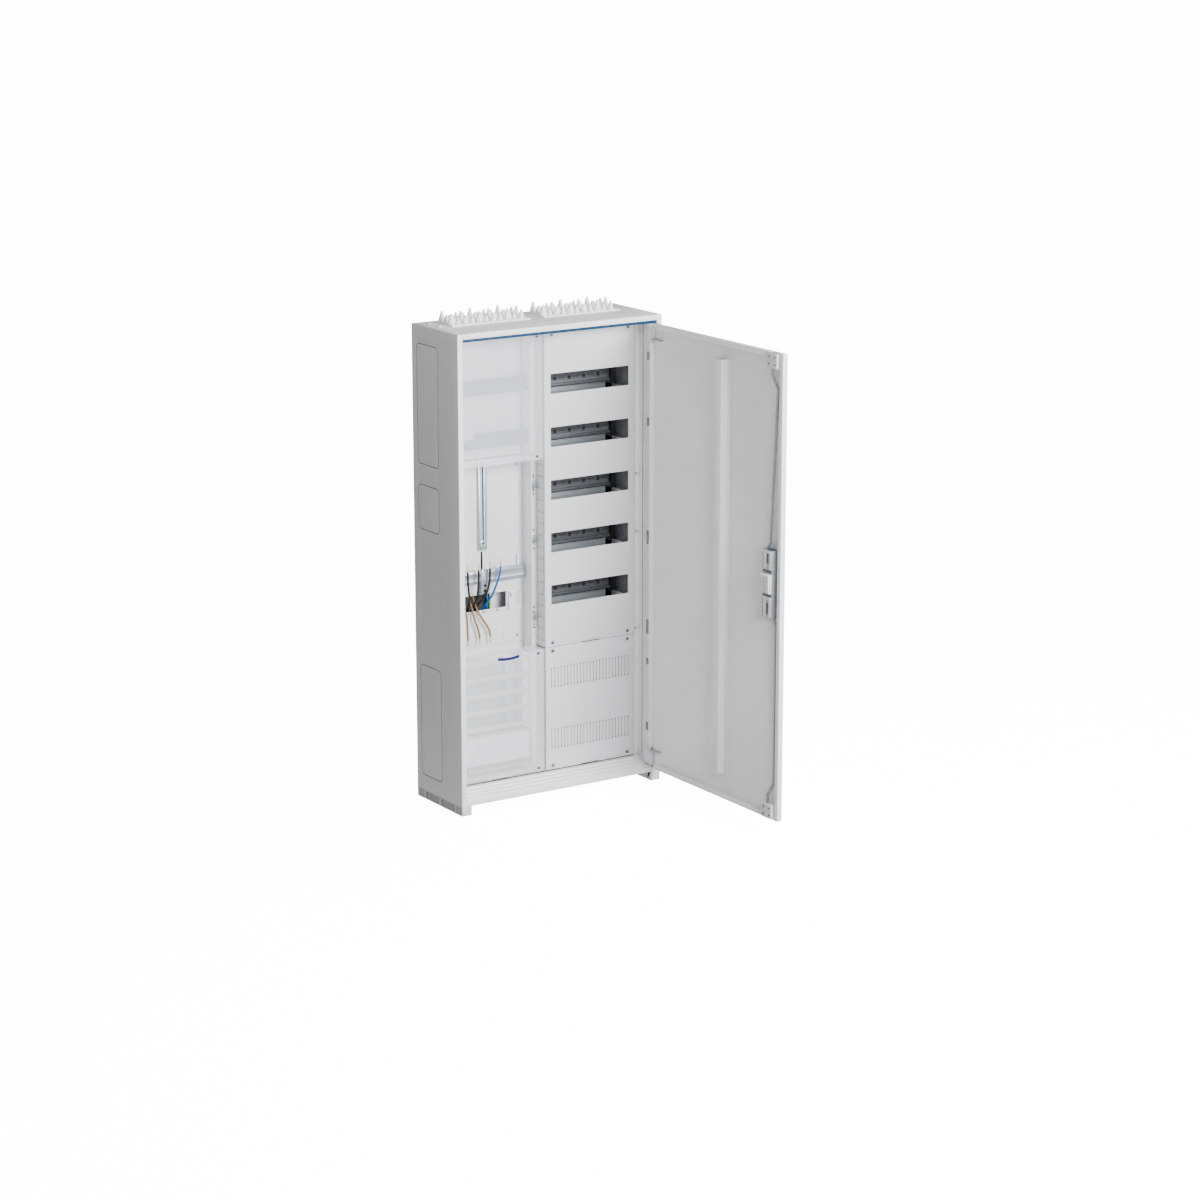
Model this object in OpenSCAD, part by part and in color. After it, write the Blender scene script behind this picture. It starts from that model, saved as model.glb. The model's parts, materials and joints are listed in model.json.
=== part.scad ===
// Sheet steel meter and distribution cabinet with two fields, its door open at 90 degrees.
// Origin: middle of the four wall fixing holes on the rear face. +X right, +Y to the wall, +Z up.

/* [Body] */
// Width of the steel body
cab_w = 550; // [500:10:700]
// Height of the steel body without its feet
cab_h = 1100; // [1000:10:1400]
// Depth from the wall to the front frame
cab_d = 205; // [195:1:260]
// Thickness of the body sheet
sheet = 1.5; // [1:0.1:2]
// Width of the front frame at the sides
frame_w = 13; // [11:0.5:18]
// Height of the front frame at the top
frame_top = 12.5; // [10:0.5:20]
// Height of the front frame at the bottom
frame_bottom = 11; // [8:0.5:20]
// Height of the feet
foot_h = 22; // [15:1:40]
// Width of a foot
foot_w = 26; // [20:1:40]
// Radius of a wall fixing hole
fix_r = 4.5; // [3:0.5:6]
// Distance of the fixing holes from the outside of the body
fix_inset = 50; // [40:5:80]
// Width of a cable entry plate
entry_w = 210; // [150:5:230]
// Depth of a cable entry plate
entry_d = 90; // [70:5:110]

/* [Fields] */
// Space between the fields and the outside of the body
field_margin = 25; // [22:1:40]
// Height of the clear cover at the top left
upper_h = 300; // [240:10:380]
// Height of the two covers at the bottom
lower_h = 300; // [270:10:360]
// Spacing of the device rails
row_pitch = 125; // [100:5:150]
// Height of a device slot
slot_h = 46; // [40:1:60]
// Distance of the device slots from the sides of the field
slot_inset = 17; // [15:1:40]
// Distance from the front frame back to the covers
cover_setback = 75; // [65:1:95]
// Depth of a cover
cover_d = 39; // [36:1:48]
// Wall thickness of a cover
cover_t = 2.5; // [1.5:0.1:3]
// Gap between two covers
cover_gap = 1; // [0.6:0.1:3]
// Distance from the face of a cover back to the rails
rail_setback = 50; // [45:1:60]
// Width of a field post
post_w = 12; // [10:0.5:16]
// Depth of a field post
post_d = 41; // [36:1:50]

/* [Door] */
// Gap between the closed door and the frame at the sides
door_gap = 1.3; // [1:0.1:2]
// Gap above and below the closed door
door_gap_z = 0.5; // [0.5:0.1:3]
// Depth of the door pan
door_d = 13; // [11:0.5:16]
// Thickness of the door sheet
door_t = 1.2; // [1:0.1:1.5]
// Width of the lip folded in around the pan
lip_w = 12; // [8:0.5:16]
// Height of the coloured strip above the door
strip_h = 6.5; // [5:0.5:12]
// Radius of the hinge pins
pin_r = 2; // [1.5:0.1:2.2]
// Radial clearance of a hinge pin in its leaf
pin_clear = 0.05; // [0.02:0.01:0.1]
// Distance of the hinge axis from the edge of the door
pin_inset = 4.7; // [4:0.1:6]
// Distance of the hinge axis behind the face of the door
pin_depth = 4; // [3.5:0.1:5]
// Height of the space each hinge takes at the door's edge
hinge_h = 40; // [38:1:60]
// How far the lock rods reach behind the front frame when the door is locked
rod_reach = 6; // [4:0.5:6]
// Width of a lock rod
rod_w = 5; // [4:0.5:6]

/* [Fittings] */
// Height of a busbar
bar_h = 12; // [8:1:20]
// Spacing of the busbars
bar_pitch = 40; // [30:1:42]
// Width of the cross rail in the meter field
cross_h = 31; // [25:1:35]
// Radius of the black and blue wires
wire_r = 2.6; // [2:0.1:2.7]
// Radius of the brown wires
brown_r = 2.3; // [1.8:0.1:2.4]

/* [Hidden] */
$fn = 32;

half_w = cab_w / 2;
half_h = cab_h / 2;
y_front = -cab_d;
frame_x = half_w - frame_w;
// The inner profiles stand back behind the edge of the front frame
wall_x = frame_x + 1;
field_w = half_w - field_margin;
field_top = half_h - field_margin;
split_upper = field_top - upper_h;
split_lower = lower_h - field_top;
y_cover = y_front + cover_setback;
y_post = y_cover + cover_d;
y_plate = y_post + post_d;
y_rail = y_cover + rail_setback;
plate_t = 2;
y_meter = y_plate - plate_t;
meter_x0 = post_w - field_w;
meter_x1 = -post_w;

// Rows of device slots in the tall cover, the same space left above and below them
tall_h = field_top - split_lower;
rows = floor(tall_h / row_pitch) - 1;
row_top = field_top - (tall_h - (rows - 1) * row_pitch) / 2;
function row_z(i) = row_top - i * row_pitch;

door_x = frame_x - door_gap;
door_top = half_h - frame_top - strip_h - door_gap_z;
door_bottom = door_gap_z + frame_bottom - half_h;
y_skin = y_front + door_t;
y_pan = y_front + door_d;
pin_x = door_x - pin_inset;
pin_y = y_front + pin_depth;
lock_x = 41 - door_x;
lock_z = 8;
pitch_r = 9.5;
teeth = 19;
rod_travel = pitch_r * PI / 2;
rod_y = y_front + 9;
rod_t = 5;
rod_end_x = lock_x + 2;
// Half width and half height of the lock case, and the height of its inner face
case_half = 19;
case_half_h = 78;
case_y = y_front + 19;
// Radii of the square spindle's boss, the hole in the door, the shaft and its hole in the case
boss_r = 9;
door_hole_r = 9.2;
shaft_r = 5;
shaft_hole_r = 5.05;
// Half width of the square spindle, and how far it reaches behind the face of the door
spindle_half = 3.5;
spindle_reach = 13;

// ---------- shared shapes ----------

module box(low, high) translate(low) cube(high - low);

// The children are drawn in Y and Z and run from x0 to x1
module along_x(x0, x1)
    translate([x0, 0, 0]) rotate([90, 0, 90]) linear_extrude(x1 - x0) children();

// The children are drawn in X and Z and run from y0 to y1
module along_y(y0, y1)
    translate([0, y1, 0]) rotate([90, 0, 0]) linear_extrude(y1 - y0) children();

module rod_along_y(x, z, r, y0, y1)
    translate([x, y1, z]) rotate([90, 0, 0]) cylinder(r = r, h = y1 - y0);

module round_rect(low, high, r) {
    size = high - low;
    translate(low + [r, 0]) square([size.x - 2 * r, size.y]);
    translate(low + [0, r]) square([size.x, size.y - 2 * r]);
    for (x = [low.x + r, high.x - r], y = [low.y + r, high.y - r]) translate([x, y]) circle(r);
}

// A bar of width w along straight lines through the points, mitred at the corners
function left_of(v) = [-v.y, v.x] / norm(v);
function mitre(p, i, offset) =
    let (last = len(p) - 1, a = left_of(p[max(i, 1)] - p[max(i, 1) - 1]),
        b = left_of(p[min(i + 1, last)] - p[min(i, last - 1)]))
    p[i] + offset * (a + b) / (1 + a * b);
module flat_path(points, w) {
    last = len(points) - 1;
    polygon(concat([for (i = [0:last]) mitre(points, i, w / 2)],
        [for (i = [last:-1:0]) mitre(points, i, -w / 2)]));
}

// Door parts are drawn closed and swung open about the hinge axis
module swung() translate([pin_x, pin_y, 0]) rotate(90) translate([-pin_x, -pin_y, 0]) children();

// ---------- body ----------

knock_y = [-116, -21.5];
knockouts = [[half_h - 321, half_h - 41], [76, 183], [36 - half_h, 305 - half_h]];

module side_wall() difference() {
    union() {
        box([half_w - sheet, y_front, -half_h], [half_w, 0, half_h]);
        box([frame_x, y_front, -half_h], [half_w, y_front + sheet, half_h]);
    }
    for (k = knockouts) along_x(half_w - 0.6, half_w + 1) difference() {
        round_rect([knock_y[0], k[0]], [knock_y[1], k[1]], 12);
        round_rect([knock_y[0] + 2.5, k[0] + 2.5], [knock_y[1] - 2.5, k[1] - 2.5], 9.5);
    }
}
module side_wall_left() color("gainsboro") mirror([1, 0, 0]) side_wall();
module side_wall_right() color("gainsboro") side_wall();

entry_y = -58;
entry_x = [-field_w / 2 + 2, field_w / 2 - 3];
entry_rim = 6;

module top_panel() color("whitesmoke") difference() {
    union() {
        box([sheet - half_w, y_front + sheet, half_h - sheet], [half_w - sheet, -sheet, half_h]);
        box([-frame_x, y_front, half_h - frame_top], [frame_x, y_front + sheet, half_h]);
    }
    for (x = entry_x)
        box([x - entry_w / 2 + entry_rim, entry_y - entry_d / 2 + entry_rim, half_h - 2 * sheet],
            [x + entry_w / 2 - entry_rim, entry_y + entry_d / 2 - entry_rim, half_h + 1]);
}

module bottom_panel() color("whitesmoke") {
    box([sheet - half_w, y_front + sheet, -half_h], [half_w - sheet, -sheet, sheet - half_h]);
    box([-frame_x, y_front, -half_h], [frame_x, y_front + sheet, frame_bottom - half_h]);
}

module back_panel() color("gainsboro") difference() {
    box([sheet - half_w, -sheet, -half_h], [half_w - sheet, 0, half_h]);
    for (x = [-1, 1], z = [-1, 1])
        rod_along_y(x * (half_w - fix_inset), z * (half_h - fix_inset), fix_r, -2 * sheet, 1);
}

// Middle height and length of the slots in the two inner profiles
profile_slots = [[448, 20], [292, 20], [15, 34], [-202, 36], [-287, 16], [-447, 20]];

module slot_profile() difference() {
    union() {
        box([wall_x, y_front + sheet, -half_h + frame_bottom],
            [wall_x + sheet, y_cover, half_h - frame_top]);
        box([field_w + 0.5, y_cover, -half_h + frame_bottom],
            [wall_x + sheet, y_cover + sheet, half_h - frame_top]);
    }
    for (s = profile_slots)
        box([frame_x - 1, y_cover - 44, s[0] - s[1] / 2], [half_w, y_cover - 31, s[0] + s[1] / 2]);
}
module slot_profiles() color("gainsboro") {
    slot_profile();
    mirror([1, 0, 0]) slot_profile();
}

sill_steps = 4;
sill_back = y_cover;
sill_front = y_front + 17;
sill_top = -field_top - 1.5;
sill_low = frame_bottom + 2 - half_h;

// A stepped sheet that falls from the covers to the bottom of the frame
module sill_profile() color("whitesmoke") {
    depth = (sill_back - sill_front) / sill_steps;
    drop = (sill_top - sill_low) / (sill_steps - 1);
    for (i = [0:sill_steps - 1])
        box([-wall_x, sill_back - (i + 1) * depth, sill_top - i * drop - sheet],
            [wall_x, sill_back - i * depth, sill_top - i * drop]);
    for (i = [1:sill_steps - 1])
        box([-wall_x, sill_back - i * depth - sheet, sill_top - i * drop - sheet],
            [wall_x, sill_back - i * depth, sill_top - (i - 1) * drop]);
    box([-wall_x, sill_front, sheet - half_h], [wall_x, sill_front + sheet, sill_low]);
}

cone_cols = 9;
cone_rows = 3;

module entry_plate(x) translate([x, entry_y, half_h]) {
    pitch_x = (entry_w - 30) / (cone_cols - 1);
    pitch_y = (entry_d - 34) / (cone_rows - 1);
    linear_extrude(3) round_rect([-entry_w / 2, -entry_d / 2], [entry_w / 2, entry_d / 2], 4);
    difference() {
        wall = entry_rim + 0.3;
        box([wall - entry_w / 2, wall - entry_d / 2, -6], [entry_w / 2 - wall, entry_d / 2 - wall, 0]);
        box([wall + 2 - entry_w / 2, wall + 2 - entry_d / 2, -7],
            [entry_w / 2 - wall - 2, entry_d / 2 - wall - 2, 0]);
    }
    for (i = [0:cone_cols - 1], j = [0:cone_rows - 1]) {
        big = (i + 2 * j) % 3 == 0;
        translate([(i - (cone_cols - 1) / 2) * pitch_x, (j - (cone_rows - 1) / 2) * pitch_y, 3])
            cylinder(r1 = big ? 10.5 : 7.5, r2 = big ? 3.5 : 2.5, h = big ? 24 : 15, $fn = 24);
    }
}
module entry_plate_left() color("white") entry_plate(entry_x[0]);
module entry_plate_right() color("white") entry_plate(entry_x[1]);

foot_ribs = [9, 17, 25];

module foot() difference() {
    box([half_w - foot_w, y_front, -half_h - foot_h], [half_w, 0, -half_h]);
    for (side = [0, 1]) {
        x0 = side == 0 ? half_w - foot_w - 1 : half_w - foot_w / 2 + 1.5;
        x1 = side == 0 ? half_w - foot_w / 2 - 1.5 : half_w + 1;
        for (m = [0, 1], r = foot_ribs) {
            y = m == 0 ? y_front + r : -r;
            box([x0, y - 2.5, 3 - half_h - foot_h], [x1, y + 2.5, -3 - half_h]);
        }
        for (y = [-cab_d / 2 - 35, -cab_d / 2 + 35])
            box([x0, y - 30, 3 - half_h - foot_h], [x1, y + 30, -3 - half_h]);
    }
}
module feet() color("lightgray") {
    foot();
    mirror([1, 0, 0]) foot();
}

module header_strip() color("#0e4f86")
    box([2 - frame_x, y_front + sheet, door_top + door_gap_z],
        [frame_x - 2, y_front + 2 * sheet + 0.5, half_h - frame_top + 4]);

// ---------- frame inside the body ----------

post_holes = [177, 167, -164, -175];
post_slots = [[148, 8], [26, 16], [-149, 12]];

module post(x0, x1, hole_x = []) difference() {
    box([x0, y_post, -field_top], [x1, y_plate, field_top]);
    box([x0 + sheet, y_post + sheet, -field_top - 1], [x1 - sheet, y_plate + 1, field_top + 1]);
    for (x = hole_x, z = post_holes) rod_along_y(x, z, 2.2, y_post - 1, y_post + 2);
    for (x = hole_x, s = post_slots)
        box([x - 2, y_post - 1, s[0] - s[1] / 2], [x + 2, y_post + 2, s[0] + s[1] / 2]);
}
module field_posts() color("whitesmoke") {
    post(-field_w, post_w - field_w);
    post(-post_w, post_w, [-post_w / 2 - 1]);
    post(field_w - post_w, field_w, [field_w - post_w / 2 - 1]);
}

// Blocks that hold the posts off the back panel
foot_block = 20;

module post_blocks() color("white")
    for (x = [[-field_w, post_w - field_w], [-post_w, post_w], [field_w - post_w, field_w]],
         z = [foot_block / 2 - field_top, 0, field_top - foot_block / 2])
        box([x[0], y_plate, z - foot_block / 2], [x[1], -sheet, z + foot_block / 2]);

rail_h = 35;
rail_d = 7.5;
hole_pitch = 40;

module rail_section(z) {
    for (s = [-1, 1]) {
        translate([y_rail, z + s * (rail_h / 2 - 2.5) - 2.5]) square([1, 5]);
        translate([y_rail, z + s * (rail_h / 2 - 5.5) - 0.5]) square([rail_d, 1]);
    }
    translate([y_rail + rail_d - 1, z - rail_h / 2 + 5]) square([1, rail_h - 10]);
}
module rail(x0, x1, z) difference() {
    along_x(x0, x1) rail_section(z);
    for (x = [x0 + 12:hole_pitch:x1 - 8])
        box([x - 3.5, y_rail + rail_d - 2, z - 3.5], [x + 3.5, y_rail + rail_d + 1, z + 3.5]);
    for (x = [x0 + 32:hole_pitch:x1 - 12], k = [-1, 0, 1])
        rod_along_y(x + 6 * k, z, 1, y_rail + rail_d - 2, y_rail + rail_d + 1);
}
module device_rails() color("silver")
    for (i = [0:rows - 1]) rail(post_w, field_w - post_w, row_z(i));
module spare_rails() color("silver") {
    for (z = [field_top - upper_h / 2 + 25, field_top - upper_h + 50]) rail(meter_x0, meter_x1, z);
    for (z = [-field_top + 75, -field_top + 225]) rail(post_w, field_w - post_w, z);
}

perforated_w = 78;
perforated_h = 33;
perforated_pitch = [8, 7.6];

module perforated_plate() color("white") {
    z0 = field_top - upper_h + 56;
    difference() {
        box([meter_x0, y_rail - 2, z0], [meter_x0 + perforated_w, y_rail, z0 + perforated_h]);
        for (i = [0:8], j = [0:3])
            rod_along_y(meter_x0 + 10 + i * perforated_pitch[0], z0 + 5 + j * perforated_pitch[1],
                2, y_rail - 3, y_rail + 1);
    }
}

// Window in the meter plate and the places of the fittings around it
window_x = [-205, -60];
window_z = [-133, -95];
cross_z = -35;
track_x = -125;
track_low = 12;

module meter_plate() color("white") difference() {
    box([meter_x0, y_meter, split_lower], [meter_x1, y_plate, split_upper]);
    box([window_x[0], y_meter - 1, window_z[0]], [window_x[1], y_plate + 1, window_z[1]]);
    box([track_x - 2.5, y_meter - 1, cross_z], [track_x + 2.5, y_plate + 1, cross_z + 42]);
}

track_half = 11;
track_d = 7;
track_t = 1.2;
track_slot = 6;

module meter_track() color("lightsteelblue") difference() {
    inner = track_half - track_t;
    box([track_x - track_half, y_meter - track_d, track_low], [track_x + track_half, y_meter, split_upper]);
    box([track_x - inner, y_meter - track_d + track_t, track_low + 1.5],
        [track_x + inner, y_meter - track_t, split_upper + 1]);
    box([track_x - track_slot / 2, y_meter - track_d - 1, track_low + 1.5],
        [track_x + track_slot / 2, y_meter - 4, split_upper + 1]);
}

cross_d = 11;
cross_t = 1.5;

// A shallow channel with two beads pressed out along its face
module cross_rail() color("lightsteelblue") {
    along_x(meter_x0 + 1, meter_x1 - 1) {
        translate([y_meter - cross_d, cross_z - cross_h]) square([cross_t, cross_h]);
        translate([y_meter - cross_d, cross_z - cross_t]) square([cross_d, cross_t]);
        translate([y_meter - cross_d, cross_z - cross_h]) square([cross_d, cross_t]);
        translate([y_meter - cross_d - 1, cross_z - cross_h + 6]) square([cross_t, cross_t]);
        translate([y_meter - cross_d - 1, cross_z - 6 - cross_t]) square([cross_t, cross_t]);
    }
}

module window_frame() color("white") difference() {
    box([window_x[0] - 6, y_meter - 2, window_z[0] - 9], [window_x[1] + 4, y_meter, window_z[1] + 5]);
    box([window_x[0], y_meter - 3, window_z[0]], [window_x[1], y_meter + 1, window_z[1]]);
    for (x = [-164, -122, -84])
        box([x - 4, y_meter - 3, window_z[0] - 5.5], [x + 4, y_meter + 1, window_z[0] - 3.5]);
}

socket_w = 33;
socket_d = 4;

module socket_plate() color("white") difference() {
    x0 = window_x[1] + 6;
    x1 = x0 + socket_w;
    box([x0, y_meter - socket_d, window_z[0] - 9], [x1, y_meter, window_z[1]]);
    for (i = [0:3])
        rod_along_y(x1 - 6, window_z[1] - 8 - i * 10, 1.4, y_meter - 5, y_meter - 2);
    box([x0 + 4, y_meter - 5, window_z[1] - 16], [x0 + 6, y_meter - 2, window_z[1] - 7]);
    for (i = [0:1], j = [0:1])
        rod_along_y(x0 + 14 + 5 * i, window_z[1] - 20 - 6 * j, 1, y_meter - 5, y_meter - 2);
}

bar_y = y_rail + 2;
bar_top = split_lower - 30;
bar_x0 = meter_x0 + 2;
bar_x1 = meter_x1 - 2;
bar_t = 5;
holder_w = 16;
bars = 5;

module busbars() color("wheat")
    for (i = [0:bars - 1])
        box([bar_x0, bar_y, bar_top - i * bar_pitch - bar_h / 2],
            [bar_x1, bar_y + bar_t, bar_top - i * bar_pitch + bar_h / 2]);

module bar_holder(x) {
    low = bar_top - (bars - 1) * bar_pitch - bar_h;
    box([x, bar_y + bar_t, low], [x + holder_w, y_plate, bar_top + bar_h]);
    for (i = [0:bars - 1], s = [0, 1]) {
        z = bar_top - i * bar_pitch + (s == 0 ? -bar_h / 2 - 3 : bar_h / 2);
        box([x, bar_y - 5, z], [x + holder_w, bar_y + bar_t, z + 3]);
    }
}
module busbar_holders() color("white") {
    bar_holder(meter_x0);
    bar_holder(meter_x1 - holder_w);
}

guard_z = [-field_top + 28, -field_top + 95];

module touch_guard() color("white") {
    x1 = meter_x1 - 8;
    difference() {
        box([meter_x0, y_post + 1, guard_z[0]], [x1, y_plate - 12, guard_z[1]]);
        box([meter_x0 + 2, y_post + 3, guard_z[0] - 1], [x1 - 2, y_plate, guard_z[1] - 2]);
    }
    rod_along_y(meter_x0 + 86, guard_z[0] + 46, 7, y_post - 5, y_post + 1);
}

terminal_x = [-190, -88];
feed_z = [-175, -150];
outlet_z = [-80, -55];
terminal_d = 28;

module feed_terminals() color("dimgray")
    for (z = [feed_z, outlet_z])
        box([terminal_x[0], y_plate, z[0]], [terminal_x[1], y_plate + terminal_d, z[1]]);

module earth_bar() color("darkgray") {
    z = 8 - field_top;
    for (x = [meter_x0, meter_x1 - 22]) box([x, y_post + 4, z - 4], [x + 22, y_plate - 5, z + 18]);
    box([meter_x0 + 22, y_post + 8, z], [meter_x1 - 22, y_post + 16, z + 8]);
    for (x = [meter_x0 + 36:14:meter_x1 - 34]) rod_along_y(x, z + 4, 3, y_post + 5, y_post + 8);
}

// ---------- hinges ----------

hinge_top = door_top - 2;
hinge_low = sill_low + (sill_top - sill_low) / (sill_steps - 1) + 1;
block_h = hinge_h - 6;
arm_r = 2.6;

// The arm of a block passes behind the open edge of the door to the hinge axis
module hinge_block(z) difference() {
    translate([0, 0, z]) linear_extrude(block_h) {
        polygon([[frame_x - 14, y_front + 11], [wall_x, y_front + 11],
            [wall_x, y_front + 31], [frame_x - 14, y_front + 31]]);
        translate([pin_x, pin_y]) circle(arm_r);
        polygon([[pin_x - arm_r * 0.88, pin_y - arm_r * 0.48], [pin_x + arm_r * 0.88, pin_y + arm_r * 0.48],
            [frame_x - 9, y_front + 12], [frame_x - 14, y_front + 12]]);
    }
    translate([pin_x, pin_y, z - 1]) cylinder(r = pin_r, h = block_h + 2);
}
module hinge_blocks() color("white") {
    hinge_block(hinge_top - block_h);
    hinge_block(hinge_low);
}
module hinge_pins() color("silver") {
    translate([pin_x, pin_y, hinge_top - hinge_h]) cylinder(r = pin_r, h = hinge_h);
    translate([pin_x, pin_y, hinge_low]) cylinder(r = pin_r, h = hinge_h);
}

leaf_t = 3;
leaf_l = 34;
leaf_clear = 0.3;

// A flat leaf on the door turns on each pin, just clear of its block
module hinge_leaf(z) difference() {
    translate([0, 0, z]) linear_extrude(leaf_t)
        polygon([[pin_x - leaf_l, y_skin], [pin_x + arm_r, y_skin], [pin_x + arm_r, pin_y + 7],
            [pin_x - 12, pin_y + 7], [pin_x - leaf_l, y_skin + 4]]);
    translate([pin_x, pin_y, z - 1]) cylinder(r = pin_r + pin_clear, h = leaf_t + 2);
}
module hinge_leaves() color("silver") swung() {
    hinge_leaf(hinge_top - block_h - leaf_clear - leaf_t);
    hinge_leaf(hinge_low + block_h + leaf_clear);
}

// ---------- door ----------

guide_x = [lock_x - 26, lock_x + 12];
guide_h = 33;
guide_gap = 2;
rod_clear = 0.4;

module door_panel() color("gainsboro") swung() difference() {
    union() {
        box([-door_x, y_front, door_bottom], [door_x, y_skin, door_top]);
        for (s = [0, 1]) {
            low = s == 0 ? door_bottom : door_top - door_t;
            box([-door_x, y_skin, low], [door_x, y_pan, low + door_t]);
            edge = s == 0 ? door_bottom : door_top - lip_w;
            box([-door_x, y_pan - door_t, edge], [door_x - 20, y_pan, edge + lip_w]);
        }
        box([-door_x, y_skin, door_bottom], [door_t - door_x, y_pan, door_top]);
        box([-door_x, y_pan - door_t, door_bottom], [lip_w - door_x, y_pan, door_top]);
        box([door_x - door_t, y_skin, hinge_low + hinge_h + 4],
            [door_x, y_pan, hinge_top - hinge_h - 4]);
    }
    // The top and bottom folds are open around the hinges and the ends of the rods
    for (s = [0, 1]) {
        low = s == 0 ? door_bottom - 1 : door_top - hinge_h;
        box([door_x - 22, y_skin, low], [door_x + 1, y_pan + 1, low + hinge_h + 1]);
        edge = s == 0 ? door_bottom + door_t : door_top - lip_w - 1;
        box([guide_x[0] - 0.5, y_skin, edge],
            [guide_x[1] + 0.5, y_pan + 1, edge + lip_w + 1 - door_t]);
        box([rod_end_x - rod_w / 2 - 1, rod_y - 4, low],
            [rod_end_x + rod_w / 2 + 1, y_pan + 1, low + hinge_h + 1]);
    }
    rod_along_y(lock_x, lock_z, door_hole_r, y_front - 1, y_skin + 1);
}

stiff_x = -24;
stiff_z = [-481, 487];
stiff_d = 18;
stiff_t = 1.2;
stiff_half = 12;
stiff_flange = 11.2;
stiff_screw_z = [95, -85];
case_screw_z = 70;

module door_stiffener() color("white") swung() {
    z0 = max(stiff_z[0], door_bottom + 40);
    z1 = min(stiff_z[1], door_top - 40);
    box([stiff_x - stiff_half, y_skin + stiff_d - stiff_t, z0],
        [stiff_x + stiff_half, y_skin + stiff_d, z1]);
    for (s = [-1, 1]) {
        x = stiff_x + s * (stiff_half - stiff_t / 2);
        middle = x + s * (stiff_flange - stiff_t) / 2;
        box([x - stiff_t / 2, y_skin, z0], [x + stiff_t / 2, y_skin + stiff_d, z1]);
        box([middle - stiff_flange / 2, y_skin, z0],
            [middle + stiff_flange / 2, y_skin + stiff_t, z1]);
    }
}

module door_screws() color("dimgray") swung() {
    for (z = stiff_screw_z)
        rod_along_y(stiff_x + stiff_half + 5, z, 2.2, y_skin + stiff_t, y_skin + 3);
    for (z = [lock_z - case_screw_z, lock_z + case_screw_z])
        rod_along_y(lock_x + 8, z, 2.4, case_y, case_y + 1.5);
}

case_t = 1.5;

module lock_case() color("silver") swung() difference() {
    box([lock_x - case_half, y_skin, lock_z - case_half_h],
        [lock_x + case_half, case_y, lock_z + case_half_h]);
    box([lock_x - case_half + case_t, y_skin + case_t, lock_z - case_half_h - 1],
        [lock_x + case_half - case_t, case_y - case_t, lock_z + case_half_h + 1]);
    rod_along_y(lock_x, lock_z, door_hole_r, y_front - 1, y_skin + 2);
    rod_along_y(lock_x, lock_z, shaft_hole_r, case_y - 2, case_y + 1);
}

housing_half = 17;
housing_z = [22, 24];
housing_d = 8;
housing_corner = 5;

// Moulded housing that holds the end of the lock's shaft
module lock_cover() color("white") swung() difference() {
    along_y(case_y, case_y + housing_d)
        round_rect([lock_x - housing_half, lock_z - housing_z[0]],
            [lock_x + housing_half, lock_z + housing_z[1]], housing_corner);
    rod_along_y(lock_x, lock_z, shaft_r + 1, case_y - 1, case_y + 3);
}

module rod_guide(z) difference() {
    box([guide_x[0], y_skin, z], [guide_x[1], y_front + 19, z + guide_h]);
    box([rod_end_x - rod_w / 2 - rod_clear, rod_y - rod_t / 2 - rod_clear, z - 1],
        [rod_end_x + rod_w / 2 + rod_clear, rod_y + rod_t / 2 + rod_clear, z + guide_h + 1]);
}
module rod_guides() color("white") swung() {
    rod_guide(door_top - guide_h - guide_gap);
    rod_guide(door_bottom + guide_gap);
}

handle_l = 95;
handle_d = 12;
handle_hub_r = 15;
handle_clear = 0.3;
lever_half = 8;
lever_d = 8;

module door_handle() color("dimgray") swung() {
    rod_along_y(lock_x, lock_z, boss_r, y_front - handle_clear, y_front + 3);
    rod_along_y(lock_x, lock_z, handle_hub_r, y_front - handle_d, y_front - handle_clear);
    box([lock_x - spindle_half, y_front + 3, lock_z - spindle_half],
        [lock_x + spindle_half, y_front + spindle_reach, lock_z + spindle_half]);
    along_y(y_front - handle_d, y_front - handle_d + lever_d) {
        translate([lock_x, lock_z - lever_half]) square([handle_l - lever_half, 2 * lever_half]);
        translate([lock_x + handle_l - lever_half, lock_z]) circle(lever_half);
    }
}

tooth_add = 0.8;
tooth_ded = 1.1;
tooth_half = 0.62;

// Straight-sided tooth standing along +Y from the root, its pitch line at the origin
module tooth() polygon([[-tooth_half - 0.34, -tooth_ded - 0.2], [tooth_half + 0.34, -tooth_ded - 0.2],
    [tooth_half - 0.28, tooth_add], [0.28 - tooth_half, tooth_add]]);

module lock_pinion() color("silver") swung() difference() {
    union() {
        along_y(rod_y - rod_t / 2, rod_y + rod_t / 2) translate([lock_x, lock_z]) {
            circle(pitch_r - tooth_ded);
            for (i = [0:teeth - 1]) rotate(i * 360 / teeth) translate([0, pitch_r]) tooth();
        }
        rod_along_y(lock_x, lock_z, shaft_r, rod_y + rod_t / 2, case_y + 1);
    }
    box([lock_x - spindle_half, rod_y - 4, lock_z - spindle_half],
        [lock_x + spindle_half, y_front + spindle_reach, lock_z + spindle_half]);
}

// Rack teeth on one side of a rod: side 1 is right of the pinion, -1 left. z0 is the lowest tooth
module rack(side, first, last) {
    pitch = PI * 2 * pitch_r / teeth;
    phase = 90 % (360 / teeth) / (360 / teeth);
    for (i = [first:last])
        translate([lock_x + side * pitch_r, lock_z + (i + 0.5 + phase) * pitch])
            rotate(side * 90) tooth();
}
back_x = pitch_r + tooth_ded + rod_w / 2 - 0.1;
// The rods are straight this far from the edge of the door, to pass through their guides
rod_bend = guide_gap + guide_h + rod_travel + 3;

// Each rod leans out to this distance left of the lock's axis, over these heights of its bends
rod_lean = [19, 21];
rod_kink = 14;
rod_slope = [28, 33];
// How far a rack reaches past the pinion, and where a rod leaves the straight stretch in the lock
rack_past = 23;
rod_leave = [78, 80];

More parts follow.
